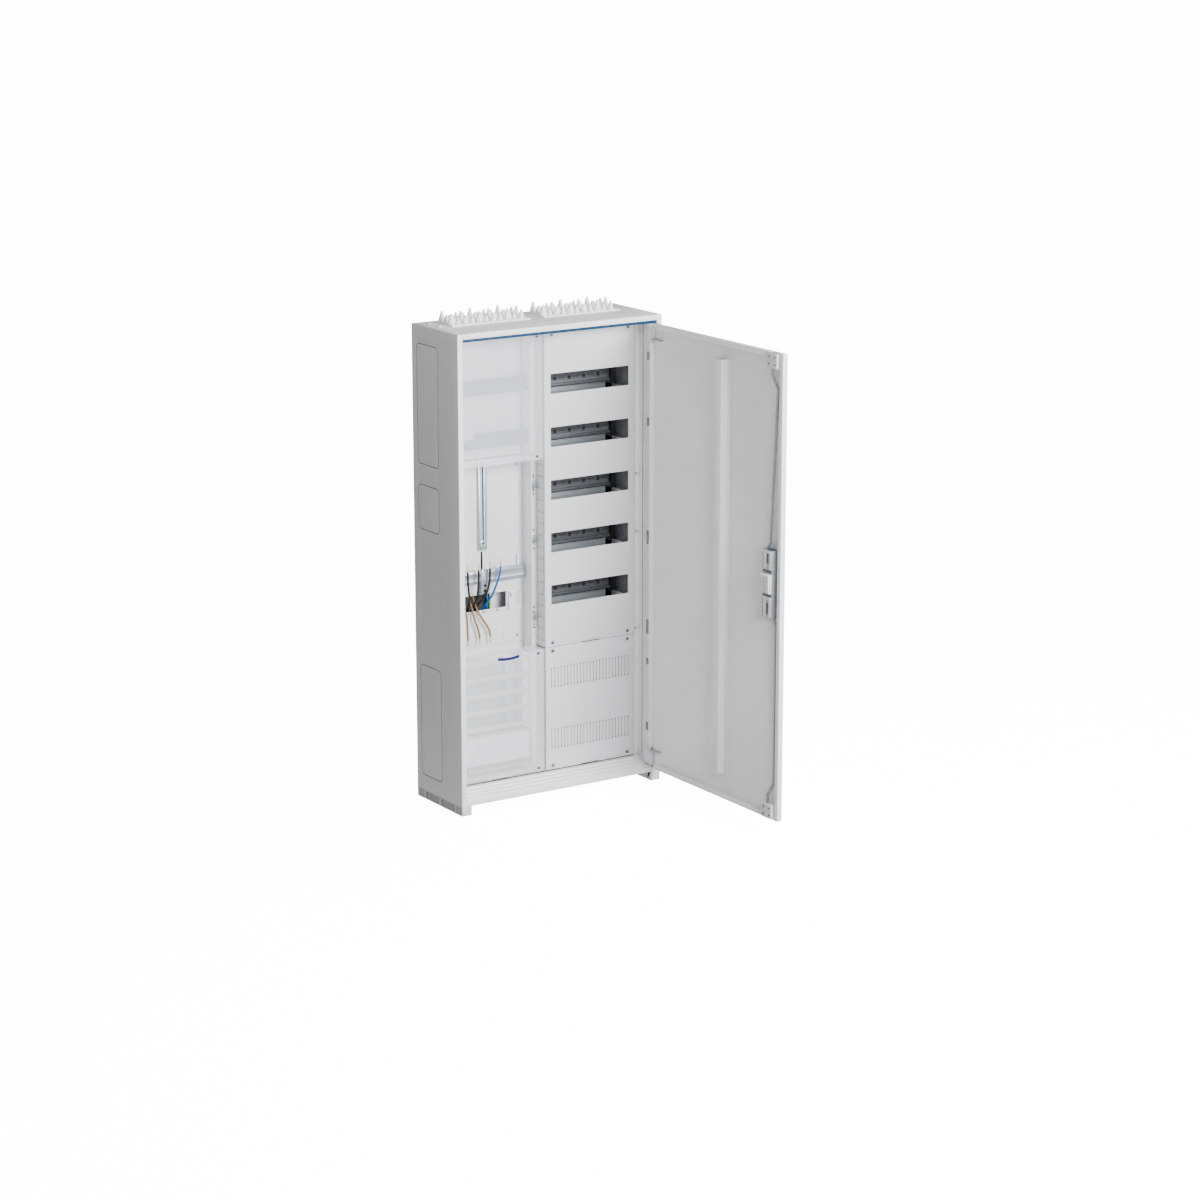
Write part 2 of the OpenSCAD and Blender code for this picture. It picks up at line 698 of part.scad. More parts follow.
module rod_upper() color("lightslategray") swung() along_y(rod_y - rod_t / 2, rod_y + rod_t / 2) {
    rack(1, -8, 1);
    flat_path([[lock_x + back_x, lock_z - rack_past], [lock_x + back_x, lock_z + rod_leave[0]],
        [rod_end_x, lock_z + rod_leave[0] + rod_kink],
        [lock_x - rod_lean[0], door_top - rod_bend - rod_slope[0]],
        [rod_end_x, door_top - rod_bend],
        [rod_end_x, half_h - frame_top + rod_reach - rod_travel]], rod_w);
}
module rod_lower() color("lightslategray") swung() along_y(rod_y - rod_t / 2, rod_y + rod_t / 2) {
    rack(-1, -4, 5);
    flat_path([[lock_x - back_x, lock_z + rack_past], [lock_x - back_x, lock_z - rod_leave[1]],
        [lock_x - rod_lean[1], lock_z - rod_leave[1] - rod_kink],
        [lock_x - rod_lean[1], door_bottom + rod_bend + rod_slope[1]],
        [rod_end_x, door_bottom + rod_bend],
        [rod_end_x, frame_bottom - half_h - rod_reach + rod_travel]], rod_w);
}

// ---------- covers ----------

grip_w = 55;
grip_d = 4;
screw_x = 20;
screw_z = 10;

// Box shell, open at the back, from x0 to x1 and z0 to z1
module cover_shell(x0, x1, z0, z1) {
    g = cover_gap / 2;
    grip_r = (grip_w * grip_w / 4 + grip_d * grip_d) / (2 * grip_d);
    difference() {
        box([x0 + g, y_cover, z0 + g], [x1 - g, y_post, z1 - g]);
        box([x0 + g + cover_t, y_cover + cover_t, z0 + g + cover_t],
            [x1 - g - cover_t, y_post + 1, z1 - g - cover_t]);
        for (x = [x0 + screw_x, x1 - screw_x], z = [z0 + screw_z, z1 - screw_z])
            rod_along_y(x, z, 2.4, y_cover - 1, y_cover + cover_t + 1);
        for (z = [z0 + g + grip_d - grip_r, z1 - g - grip_d + grip_r])
            rod_along_y((x0 + x1) / 2, z, grip_r, y_cover - 1, y_cover + 10, $fn = 96);
    }
}
module cover_screws(x0, x1, z0, z1)
    for (x = [x0 + screw_x, x1 - screw_x], z = [z0 + screw_z, z1 - screw_z]) {
        difference() {
            rod_along_y(x, z, 4, y_cover - 1.5, y_cover);
            box([x - 3, y_cover - 2, z - 0.6], [x + 3, y_cover - 0.8, z + 0.6]);
        }
        rod_along_y(x, z, 2.2, y_cover, y_post - 4);
    }

module cover_upper_left() color("lightcyan", 0.4)
    cover_shell(-field_w, 0, split_upper, field_top);
module cover_lower_left() color("lightcyan", 0.4)
    cover_shell(-field_w, 0, -field_top, split_lower);
module cover_upper_right() color("white") difference() {
    cover_shell(0, field_w, split_lower, field_top);
    for (i = [0:rows - 1])
        box([slot_inset, y_cover - 1, row_z(i) - slot_h / 2],
            [field_w - slot_inset, y_cover + 5, row_z(i) + slot_h / 2]);
}

breakouts = 24;
breakout_end = 1.1;

module cover_lower_right() color("whitesmoke") difference() {
    cover_shell(0, field_w, -field_top, split_lower);
    pitch = (field_w - 2 * slot_inset) / breakouts;
    for (z = [-field_top + 75, -field_top + 225], i = [0:breakouts]) {
        x = slot_inset + i * pitch;
        box([x - 0.4, y_cover - 1, z - slot_h / 2], [x + 0.4, y_cover + 5, z + slot_h / 2]);
        for (s = [-1, 1])
            rod_along_y(x, z + s * slot_h / 2, breakout_end, y_cover - 1, y_cover + 5, $fn = 16);
    }
}

module screws_upper_left() color("gray") cover_screws(-field_w, 0, split_upper, field_top);
module screws_lower_left() color("gray") cover_screws(-field_w, 0, -field_top, split_lower);
module screws_upper_right() color("gray") cover_screws(0, field_w, split_lower, field_top);
module screws_lower_right() color("gray") cover_screws(0, field_w, -field_top, split_lower);

// Curved coloured strip under the grip of the lower clear cover
module grip_strip() color("navy") {
    r = 150;
    low = split_lower - 15;
    along_y(y_cover - 1.2, y_cover) intersection() {
        translate([-field_w / 2 + 24, low + r]) difference() {
            circle(r, $fn = 128);
            circle(r - 6.5, $fn = 128);
        }
        translate([-field_w / 2 - 5, low - 2]) square([58, 14]);
    }
}

// ---------- sliding fittings of the meter field ----------

module track_slider() color("lightgray") {
    z0 = track_low + 2;
    difference() {
        box([track_x - 8, y_meter - 9.5, z0], [track_x + 8, y_meter - 7.3, z0 + 21]);
        rod_along_y(track_x, z0 + 14, 2.2, y_meter - 10, y_meter - 7);
    }
    box([track_x - 2.6, y_meter - 7.3, z0 + 2], [track_x + 2.6, y_meter - 5.4, z0 + 10]);
    box([track_x - 7, y_meter - 5.4, z0 + 2], [track_x + 7, y_meter - 3.2, z0 + 10]);
}

module rail_hanger() color("whitesmoke") difference() {
    union() {
        box([track_x - 9, y_meter - 14.3, cross_z - 56], [track_x + 9, y_meter - 12.3, cross_z + 2.3]);
        box([track_x - 9, y_meter - 12.3, cross_z + 0.3], [track_x + 9, y_meter - 8, cross_z + 2.3]);
    }
    for (z = [cross_z - 36, cross_z - 49]) rod_along_y(track_x, z, 3, y_meter - 15, y_meter - 12);
}

// ---------- wires ----------

// Points of each wire, from its terminal to its end
black_1 = [[-158, -36, -150], [-158, -38, -140], [-160, -46, -128], [-163.5, -58, -114],
    [-168, -68, -98], [-173, -73, -80], [-176, -75, -58], [-177, -75, -32]];
black_2 = [[-149, -36, -150], [-149, -38, -140], [-149, -46, -128], [-149, -58, -114],
    [-148, -68, -98], [-148, -73, -80], [-147.5, -75, -58], [-147, -75, -32]];
black_3 = [[-140, -36, -150], [-140, -38, -140], [-139, -46, -128], [-136, -58, -114],
    [-129, -69, -98], [-122, -74, -78], [-118, -76, -56], [-117, -76, -30]];
blue_1 = [[-118, -36, -150], [-117, -38, -140], [-116, -45, -128], [-114, -57, -114],
    [-109, -69, -98], [-102, -74, -78], [-92, -75, -52], [-87, -75, -28]];
blue_2 = [[-106, -36, -150], [-106, -39, -138], [-105, -42, -122], [-105, -42, -108],
    [-106, -39, -92], [-106, -36, -80]];
earth = [[-97, -36, -150], [-97, -39, -138], [-97.5, -42, -122], [-97.5, -42, -108],
    [-97, -39, -92], [-97, -36, -80]];
brown_1 = [[-182, -36, -80], [-182, -37, -88], [-180, -42, -104], [-177, -53, -120],
    [-174, -61, -134], [-173, -64, -152], [-172, -64, -176], [-171, -64, -198]];
brown_2 = [[-160, -36, -80], [-159, -37, -88], [-156, -42, -104], [-154.7, -53, -120],
    [-155, -61, -134], [-152, -64, -152], [-143, -64, -176], [-139, -64, -197]];
brown_3 = [[-146, -36, -80], [-145, -37, -88], [-143.5, -42, -104], [-143, -53, -120],
    [-141, -61, -134], [-131, -64, -152], [-115, -64, -176], [-110, -64, -196]];

// A smooth curve through the points: each stretch is a cubic that passes the points on its way
function at(p, i) = p[min(max(i, 0), len(p) - 1)];
function blend(p, i, t) = 0.5 * (2 * at(p, i) + t * (at(p, i + 1) - at(p, i - 1))
    + t * t * (2 * at(p, i - 1) - 5 * at(p, i) + 4 * at(p, i + 1) - at(p, i + 2))
    + t * t * t * (3 * at(p, i) - at(p, i - 1) - 3 * at(p, i + 1) + at(p, i + 2)));
function curve(p, n) = concat([for (i = [0:len(p) - 2], k = [0:n - 1]) blend(p, i, k / n)],
    [p[len(p) - 1]]);
function unit(v) = v / norm(v);
function ring(c, i, r, sides) =
    let (last = len(c) - 1,
        t = i == 0 || i == last ? [0, 0, c[last].z > c[0].z ? 1 : -1] : unit(c[i + 1] - c[i - 1]),
        a = unit(cross(t, [1, 0, 0])), b = cross(t, a))
    [for (k = [0:sides - 1]) c[i] + r * (cos(k * 360 / sides) * a + sin(k * 360 / sides) * b)];

// The wires are laid out for a plate 50 mm off the wall, and follow it where it stands
wire_shift = [0, y_plate + 50, 0];
wire_sides = 8;
wire_steps = 3;

module wire(points, r) translate(wire_shift) {
    sides = wire_sides;
    c = curve(points, wire_steps);
    n = len(c);
    polyhedron([for (i = [0:n - 1]) each ring(c, i, r, sides)],
        concat([[for (k = [0:sides - 1]) k]],
            [for (i = [0:n - 2], k = [0:sides - 1]) [i * sides + (k + 1) % sides, i * sides + k,
                (i + 1) * sides + k, (i + 1) * sides + (k + 1) % sides]],
            [[for (k = [sides - 1:-1:0]) (n - 1) * sides + k]]), convexity = 6);
}
module wire_black_1() color("black") wire(black_1, wire_r);
module wire_black_2() color("black") wire(black_2, wire_r);
module wire_black_3() color("black") wire(black_3, wire_r);
module wire_blue_1() color("royalblue") wire(blue_1, wire_r);
module wire_blue_2() color("royalblue") wire(blue_2, wire_r);
module wire_earth() color("yellowgreen") wire(earth, wire_r);
module wire_brown_1() color("saddlebrown") wire(brown_1, brown_r);
module wire_brown_2() color("saddlebrown") wire(brown_2, brown_r);
module wire_brown_3() color("saddlebrown") wire(brown_3, brown_r);

tip_r = 1.5;
tip_l = 18;

// Bare copper beyond the end of each loose wire, up or down
module wire_tips() color("darkkhaki") translate(wire_shift) {
    for (p = [black_1, black_2, black_3, blue_1]) translate(p[7]) cylinder(r = tip_r, h = tip_l);
    for (p = [brown_1, brown_2, brown_3]) translate(p[7] - [0, 0, tip_l - 4])
        cylinder(r = tip_r, h = tip_l - 4);
}

side_wall_left();
side_wall_right();
top_panel();
bottom_panel();
back_panel();
slot_profiles();
sill_profile();
entry_plate_left();
entry_plate_right();
feet();
header_strip();
field_posts();
post_blocks();
device_rails();
spare_rails();
perforated_plate();
meter_plate();
meter_track();
cross_rail();
window_frame();
socket_plate();
busbars();
busbar_holders();
touch_guard();
feed_terminals();
earth_bar();
hinge_blocks();
hinge_pins();
wire_black_1();
wire_black_2();
wire_black_3();
wire_blue_1();
wire_blue_2();
wire_earth();
wire_brown_1();
wire_brown_2();
wire_brown_3();
wire_tips();
door_panel();
door_stiffener();
door_screws();
hinge_leaves();
lock_case();
lock_cover();
rod_guides();
door_handle();
lock_pinion();
rod_upper();
rod_lower();
cover_upper_left();
cover_lower_left();
cover_upper_right();
cover_lower_right();
screws_upper_left();
screws_lower_left();
screws_upper_right();
screws_lower_right();
grip_strip();
track_slider();
rail_hanger();
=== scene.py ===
# %% [markdown]
# # A distribution cabinet with its door open
# The cabinet is a bent sheet steel box with two columns of fittings in it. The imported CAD
# model gives every size and place. This lesson gives it its finishes, softens its edges and
# adds the small moulded and bent shapes that the CAD model leaves out.

# %% Load the frame
import json
import math

import bpy
from mathutils import Matrix, Vector


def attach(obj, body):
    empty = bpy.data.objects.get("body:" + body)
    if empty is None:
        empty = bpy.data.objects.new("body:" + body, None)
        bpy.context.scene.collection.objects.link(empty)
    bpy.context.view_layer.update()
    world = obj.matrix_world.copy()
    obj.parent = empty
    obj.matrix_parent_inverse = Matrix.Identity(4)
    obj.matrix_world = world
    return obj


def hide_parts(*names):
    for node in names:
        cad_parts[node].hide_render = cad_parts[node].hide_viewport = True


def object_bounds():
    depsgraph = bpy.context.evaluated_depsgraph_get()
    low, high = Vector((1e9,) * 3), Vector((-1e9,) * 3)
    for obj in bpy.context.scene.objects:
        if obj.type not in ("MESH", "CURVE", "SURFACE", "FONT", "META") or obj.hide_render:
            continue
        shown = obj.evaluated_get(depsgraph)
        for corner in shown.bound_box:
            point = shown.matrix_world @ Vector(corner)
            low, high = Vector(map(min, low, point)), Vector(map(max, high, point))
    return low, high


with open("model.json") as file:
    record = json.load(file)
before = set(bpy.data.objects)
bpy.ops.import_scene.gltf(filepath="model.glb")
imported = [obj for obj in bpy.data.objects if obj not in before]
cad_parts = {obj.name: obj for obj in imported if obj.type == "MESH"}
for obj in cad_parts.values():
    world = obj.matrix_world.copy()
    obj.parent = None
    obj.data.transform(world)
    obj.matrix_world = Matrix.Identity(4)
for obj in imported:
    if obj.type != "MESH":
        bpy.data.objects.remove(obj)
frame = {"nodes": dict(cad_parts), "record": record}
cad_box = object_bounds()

MM = 0.001
BODY_OF = {n: body for body, ns in frame["record"]["behaviour"]["bodies"].items() for n in ns}
SLOT_OF = {row["node"]: row["material_slot"] for row in frame["record"]["subparts"]}

# %% [markdown]
# The camera comes first. It stands well back with a long lens, so that upright edges stay
# almost parallel, and a cabinet this tall doesn't seem to lean. It looks a little down from the
# left, which shows one side wall, the fittings and the inside of the open door together.

# %% Camera
LENS_MM = 99.0
CAMERA_PLACE = (-3.9848, -6.4622, 1.7324)
CAMERA_TURN = 0.5788
CAMERA_TILT = 0.2414
lens_data = bpy.data.cameras.new("camera")
lens_data.sensor_width = 36
lens_data.lens = LENS_MM
camera = bpy.data.objects.new("camera", lens_data)
camera.location = CAMERA_PLACE
camera.rotation_euler = (math.pi / 2 - CAMERA_TILT, 0, -CAMERA_TURN)
bpy.context.scene.collection.objects.link(camera)
bpy.context.scene.camera = camera

# %% [markdown]
# Every modelling step below works on one selected object at a time. The frame leaves all its
# nodes selected, so the selection is cleared first.

# %% Helpers for selection
def select_only(piece):
    bpy.ops.object.select_all(action="DESELECT")
    piece.select_set(True)
    bpy.context.view_layer.objects.active = piece


def smooth(piece, degrees=35):
    select_only(piece)
    bpy.ops.object.shade_smooth_by_angle(angle=math.radians(degrees))

# %% [markdown]
# Nine short wires stand in the meter field. Each is stiff, solid core installation wire, so it
# keeps the curve it was bent to. Its route is a row of points, and a smooth curve passes through
# all of them. The points repeat the CAD model's own, in metres. A curve with a round bevel
# makes the tube, and it is then turned into a mesh.

# %% Wires
WIRE_R = 0.0026
BROWN_R = 0.0023
ROUTES = {
    "wire_black_1": [(-0.158, -0.036, -0.15), (-0.158, -0.038, -0.14), (-0.16, -0.046, -0.128),
        (-0.1635, -0.058, -0.114), (-0.168, -0.068, -0.098), (-0.173, -0.073, -0.08),
        (-0.176, -0.075, -0.058), (-0.177, -0.075, -0.032)],
    "wire_black_2": [(-0.149, -0.036, -0.15), (-0.149, -0.038, -0.14), (-0.149, -0.046, -0.128),
        (-0.149, -0.058, -0.114), (-0.148, -0.068, -0.098), (-0.148, -0.073, -0.08),
        (-0.1475, -0.075, -0.058), (-0.147, -0.075, -0.032)],
    "wire_black_3": [(-0.14, -0.036, -0.15), (-0.14, -0.038, -0.14), (-0.139, -0.046, -0.128),
        (-0.136, -0.058, -0.114), (-0.129, -0.069, -0.098), (-0.122, -0.074, -0.078),
        (-0.118, -0.076, -0.056), (-0.117, -0.076, -0.03)],
    "wire_blue_1": [(-0.118, -0.036, -0.15), (-0.117, -0.038, -0.14), (-0.116, -0.045, -0.128),
        (-0.114, -0.057, -0.114), (-0.109, -0.069, -0.098), (-0.102, -0.074, -0.078),
        (-0.092, -0.075, -0.052), (-0.087, -0.075, -0.028)],
    "wire_blue_2": [(-0.106, -0.036, -0.15), (-0.106, -0.039, -0.138), (-0.105, -0.042, -0.122),
        (-0.105, -0.042, -0.108), (-0.106, -0.039, -0.092), (-0.106, -0.036, -0.08)],
    "wire_earth": [(-0.097, -0.036, -0.15), (-0.097, -0.039, -0.138), (-0.0975, -0.042, -0.122),
        (-0.0975, -0.042, -0.108), (-0.097, -0.039, -0.092), (-0.097, -0.036, -0.08)],
    "wire_brown_1": [(-0.182, -0.036, -0.08), (-0.182, -0.037, -0.088), (-0.18, -0.042, -0.104),
        (-0.177, -0.053, -0.12), (-0.174, -0.061, -0.134), (-0.173, -0.064, -0.152),
        (-0.172, -0.064, -0.176), (-0.171, -0.064, -0.198)],
    "wire_brown_2": [(-0.16, -0.036, -0.08), (-0.159, -0.037, -0.088), (-0.156, -0.042, -0.104),
        (-0.1547, -0.053, -0.12), (-0.155, -0.061, -0.134), (-0.152, -0.064, -0.152),
        (-0.143, -0.064, -0.176), (-0.139, -0.064, -0.197)],
    "wire_brown_3": [(-0.146, -0.036, -0.08), (-0.145, -0.037, -0.088), (-0.1435, -0.042, -0.104),
        (-0.143, -0.053, -0.12), (-0.141, -0.061, -0.134), (-0.131, -0.064, -0.152),
        (-0.115, -0.064, -0.176), (-0.11, -0.064, -0.196)],
}


def wire_radius(name):
    return BROWN_R if "brown" in name else WIRE_R


def through(points, steps=4):
    """Points along the smooth curve that passes through the given ones."""
    ends = [Vector(points[0])] + [Vector(p) for p in points] + [Vector(points[-1])]
    line = []
    for a, b, c, d in zip(ends, ends[1:], ends[2:], ends[3:]):
        for k in range(steps):
            t = k / steps
            line.append(0.5 * (2 * b + t * (c - a) + t * t * (2 * a - 5 * b + 4 * c - d)
                               + t ** 3 * (3 * b - a - 3 * c + d)))
    return line + [Vector(points[-1])]


def draw_wire(name, points):
    curve = bpy.data.curves.new(name + "_line", "CURVE")
    curve.dimensions = "3D"
    line = through(points)
    spline = curve.splines.new("POLY")
    spline.points.add(len(line) - 1)
    for point, place in zip(spline.points, line):
        point.co = (*place, 1)
    curve.bevel_depth = wire_radius(name)
    curve.bevel_resolution = 4
    curve.use_fill_caps = True
    piece = bpy.data.objects.new(name + "_fine", curve)
    bpy.context.scene.collection.objects.link(piece)
    select_only(piece)
    bpy.ops.object.convert(target="MESH")
    smooth(piece, 50)
    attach(piece, "cabinet")
    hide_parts(name)
    return piece


WIRES = {name: draw_wire(name, points) for name, points in ROUTES.items()}
print("wires", len(WIRES))

# %% [markdown]
# Colours are written as sRGB hex values, which is how a colour chart gives them. Blender
# works in linear light, so one function converts them. One more function adds a node with
# its settings and links, and every material below is a few calls of it.

# %% Helpers for materials
def linear(hex_value):
    """An sRGB hex colour as linear red, green, blue and alpha."""
    channels = [int(hex_value[i:i + 2], 16) / 255 for i in (1, 3, 5)]
    return [c / 12.92 if c <= 0.04045 else ((c + 0.055) / 1.055) ** 2.4 for c in channels] + [1]


def add_node(tree, kind, values=(), links=(), **settings):
    """Add a node, set its settings and input values, and link (output socket, input name)."""
    node = tree.nodes.new("ShaderNode" + kind)
    for key, value in settings.items():
        setattr(node, key, value)
    for key, value in dict(values).items():
        node.inputs[key].default_value = value
    for output, key in links:
        tree.links.new(output, node.inputs[key])
    return node


MATERIALS = {}
# The Mix node has a set of sockets for each type of data. These are the ones for colour.
MIX_A = 6
MIX_B = 7
MIX_RESULT = 2


def new_finish(slot, name, colour, roughness, **shader_values):
    """A material with its Principled shader set. Returns its tree, its shader and coordinates."""
    material = bpy.data.materials.new(name)
    material.use_nodes = True
    tree = material.node_tree
    shader = tree.nodes["Principled BSDF"]
    shader.inputs["Base Color"].default_value = linear(colour)
    shader.inputs["Roughness"].default_value = roughness
    for key, value in shader_values.items():
        shader.inputs[key.replace("_", " ").title().replace("Ior", "IOR")].default_value = value
    material.diffuse_color = linear(colour)
    place = add_node(tree, "TexCoord").outputs["Object"]
    MATERIALS[slot] = material
    return tree, shader, place


def grain(tree, shader, place, size_mm, height_mm, detail=2.0):
    """Give a surface a fine bump of that grain size and height."""
    noise = add_node(tree, "TexNoise", {"Scale": 1000 / size_mm, "Detail": detail}, [(place, "Vector")])
    bump = add_node(tree, "Bump", {"Strength": 1.0, "Distance": height_mm * MM},
                    [(noise.outputs["Fac"], "Height")])
    tree.links.new(bump.outputs["Normal"], shader.inputs["Normal"])


def mottle(tree, shader, place, colours, size_mm):
    """Vary the base colour slowly between two close tones."""
    noise = add_node(tree, "TexNoise", {"Scale": 1000 / size_mm, "Detail": 3.0}, [(place, "Vector")])
    mix = add_node(tree, "Mix", links=[(noise.outputs["Fac"], "Factor")], data_type="RGBA")
    mix.inputs[MIX_A].default_value = linear(colours[0])
    mix.inputs[MIX_B].default_value = linear(colours[1])
    tree.links.new(mix.outputs[MIX_RESULT], shader.inputs["Base Color"])
    return mix

# %% [markdown]
# Powder coat is baked polyester dust on steel. Seen close it has a fine orange peel, about a
# millimetre from crest to crest, which breaks up reflections. Here the peel is drawn at 1.6 mm,
# a little coarser than the real one, so that a render still catches it.
#
# The knock-outs of the side walls are outlined by a groove 0.6 mm deep. It stays darker than
# the wall, because little light falls into it, so its floor gets a painted shade: a darker tone.

# %% Painted and coated metals
GROOVE_X = 274.4 * MM
GROOVE_BAND = 0.15 * MM


def powder_coat():
    tree, shader, place = new_finish("powder_coat", "white_powder_coat", "#f0f0ef", 0.42)
    grain(tree, shader, place, 1.6, 0.012)
    base = mottle(tree, shader, place, ("#efefee", "#f2f2f1"), 180)
    across = add_node(tree, "SeparateXYZ", links=[(place, 0)])
    outward = add_node(tree, "Math", links=[(across.outputs["X"], 0)], operation="ABSOLUTE")
    groove = add_node(tree, "Math", {1: GROOVE_X, 2: GROOVE_BAND}, [(outward.outputs[0], 0)],
                      operation="COMPARE")
    # Painted shade: the groove floor is mixed to a darker grey, because little light reaches it.
    groove_painted_shade = add_node(tree, "Mix", links=[(groove.outputs[0], "Factor"), (base.outputs[MIX_RESULT], MIX_A)],
                     data_type="RGBA")
    groove_painted_shade.inputs[MIX_B].default_value = linear("#8f8f8f")
    tree.links.new(groove_painted_shade.outputs[MIX_RESULT], shader.inputs["Base Color"])


def galvanised():
    tree, shader, place = new_finish(
        "galvanised", "zinc_coated_steel", "#b4bec9", 0.38, metallic=0.75)
    mottle(tree, shader, place, ("#a9b4c1", "#bfc8d1"), 7)
    grain(tree, shader, place, 0.8, 0.006)


# This grey is partly zinc and partly painted shade: it is darker than bare zinc, for the shade deep inside
# the cabinet.
def zinc_sheet():
    tree, shader, place = new_finish(
        "zinc_sheet", "zinc_sheet_painted_dark", "#484c50", 0.45, metallic=0.35)
    mottle(tree, shader, place, ("#43474b", "#4f5357"), 9)
    grain(tree, shader, place, 0.8, 0.006)


def lock_zinc():
    tree, shader, place = new_finish(
        "lock_zinc", "pressed_zinc_parts", "#a3abb0", 0.4, metallic=0.55)
    mottle(tree, shader, place, ("#9aa2a8", "#acb3b8"), 5)
    grain(tree, shader, place, 0.7, 0.006)


def plated_steel():
    tree, shader, place = new_finish("steel_pin", "nickel_plated_steel", "#8b8c90", 0.3, metallic=1.0)
    grain(tree, shader, place, 0.6, 0.004)
    mottle(tree, shader, place, ("#85868a", "#929397"), 3)


def tinned_bar():
    tree, shader, place = new_finish("copper_tinned", "tinned_copper", "#d9cfbb", 0.35, metallic=0.6)
    mottle(tree, shader, place, ("#d6c8ae", "#dcd6ca"), 30)
    grain(tree, shader, place, 0.8, 0.006)


def turned_brass():
    tree, shader, place = new_finish("brass", "turned_brass", "#c9b27c", 0.3, metallic=1.0)
    mottle(tree, shader, place, ("#c2aa72", "#d0bb88"), 4)
    grain(tree, shader, place, 0.5, 0.004)


for make in (powder_coat, galvanised, zinc_sheet, lock_zinc, plated_steel, tinned_bar, turned_brass):
    make()

# %% [markdown]
# Most of the fittings are injection moulded. The mould is lightly spark eroded, which leaves a
# dull, even skin with hardly any grain. The clear covers are polycarbonate, and from a distance
# they look milky, because the sheet scatters part of the light that falls on it. A little
# emission stands in for that scattered light.

# %% Moulded plastics
COVER_GLOW = 0.36


def gloss_white():
    """The rubber of the cable entries is a purer, glossier white than the mouldings."""
    tree, shader, place = new_finish("gloss_white", "gloss_white_rubber", "#fdfdfd", 0.3)
    grain(tree, shader, place, 1.6, 0.01)
    mottle(tree, shader, place, ("#fbfbfb", "#ffffff"), 120)


def white_abs():
    tree, shader, place = new_finish("white_plastic", "moulded_white_abs", "#d9dadd", 0.35)
    grain(tree, shader, place, 0.9, 0.006)
    mottle(tree, shader, place, ("#d8d9dc", "#dcdddf"), 60)


def foot_plastic():
    tree, shader, place = new_finish("foot_plastic", "moulded_grey_polypropylene", "#d3d3d1", 0.5)
    grain(tree, shader, place, 1.2, 0.01)
    mottle(tree, shader, place, ("#cfcfcd", "#d7d7d5"), 25)


def blue_strip():
    tree, shader, place = new_finish("blue_strip", "extruded_blue_pvc", "#003a60", 0.35)
    grain(tree, shader, place, 1.5, 0.006)
    mottle(tree, shader, place, ("#00365a", "#003e66"), 40)


def navy_strip():
    tree, shader, place = new_finish("navy_strip", "moulded_navy_strip", "#10105c", 0.3)
    grain(tree, shader, place, 1.0, 0.006)
    mottle(tree, shader, place, ("#0e0e54", "#141466"), 20)


def grey_polyamide():
    tree, shader, place = new_finish("grey_plastic", "moulded_grey_polyamide", "#4b4b4d", 0.45)
    grain(tree, shader, place, 0.9, 0.012)
    mottle(tree, shader, place, ("#464648", "#515153"), 15)


def clear_polycarbonate():
    tree, shader, place = new_finish(
        "clear_plastic", "clear_polycarbonate", "#f4f6f8", 0.16, alpha=0.27, ior=1.45)
    grain(tree, shader, place, 4.0, 0.01)
    mottle(tree, shader, place, ("#f2f4f7", "#f6f8fa"), 50)
    shader.inputs["Emission Color"].default_value = linear("#f4f6fa")
    shader.inputs["Emission Strength"].default_value = COVER_GLOW


def pale_polystyrene():
    tree, shader, place = new_finish(
        "pale_cover", "pale_polystyrene", "#e2e3e6", 0.28, alpha=0.9)
    grain(tree, shader, place, 2.0, 0.006)
    mottle(tree, shader, place, ("#e0e1e4", "#e4e5e8"), 60)


for make in (gloss_white, white_abs, foot_plastic, blue_strip, navy_strip, grey_polyamide,
             clear_polycarbonate, pale_polystyrene):
    make()

# %% [markdown]
# Wire insulation is extruded PVC: smooth, a little soft and with a broad highlight. The earth
# wire has two colours along it, which are split by the wire's own middle.

# %% Wires and bare copper
EARTH_MIDDLE = -97.2 * MM


def pvc(slot, name, tones):
    tree, shader, place = new_finish(slot, name, tones[0], 0.38)
    grain(tree, shader, place, 1.2, 0.01)
    mottle(tree, shader, place, tones, 12)


def earth_pvc():
    tree, shader, place = new_finish("earth_pvc", "green_and_yellow_pvc", "#7fb43c", 0.38)
    grain(tree, shader, place, 1.2, 0.01)
    across = add_node(tree, "SeparateXYZ", links=[(place, 0)])
    half = add_node(tree, "Math", {1: EARTH_MIDDLE}, [(across.outputs["X"], 0)],
                    operation="GREATER_THAN")
    mix = add_node(tree, "Mix", links=[(half.outputs[0], "Factor")], data_type="RGBA")
    mix.inputs[MIX_A].default_value = linear("#58a845")
    mix.inputs[MIX_B].default_value = linear("#d9d65a")
    tree.links.new(mix.outputs[MIX_RESULT], shader.inputs["Base Color"])


def bare_copper():
    tree, shader, place = new_finish("bare_copper", "stripped_conductor", "#cdb878", 0.42, metallic=0.5)
    mottle(tree, shader, place, ("#c4ad6a", "#d8c78c"), 2)
    grain(tree, shader, place, 0.6, 0.02)


pvc("black_pvc", "black_pvc", ("#040405", "#0a0a0b"))
pvc("blue_pvc", "blue_pvc", ("#0a4c9c", "#1458a8"))
pvc("brown_pvc", "brown_pvc", ("#755534", "#83623d"))
earth_pvc()
bare_copper()
for name, piece in WIRES.items():
    piece.data.materials.append(MATERIALS[SLOT_OF[name]])
for node, slot in SLOT_OF.items():
    mesh = frame["nodes"][node].data
    mesh.materials.clear()
    mesh.materials.append(MATERIALS[slot])
print("finishes", len(MATERIALS))

# %% [markdown]
# A finished piece gets its body, its finish and the CAD nodes that it stands for in one call.
# Sheet metal and mouldings both have rounded edges, so one helper bevels them all, at every
# edge that is sharper than a set angle.

# %% Helpers for pieces
SHARP_ANGLE = math.radians(40)


def bevel(piece, width_mm):
    select_only(piece)
    modifier = piece.modifiers.new("bevel", "BEVEL")
    modifier.width = width_mm * MM
    modifier.segments = 2
    modifier.limit_method = "ANGLE"
    modifier.angle_limit = SHARP_ANGLE
    bpy.ops.object.modifier_apply(modifier=modifier.name)


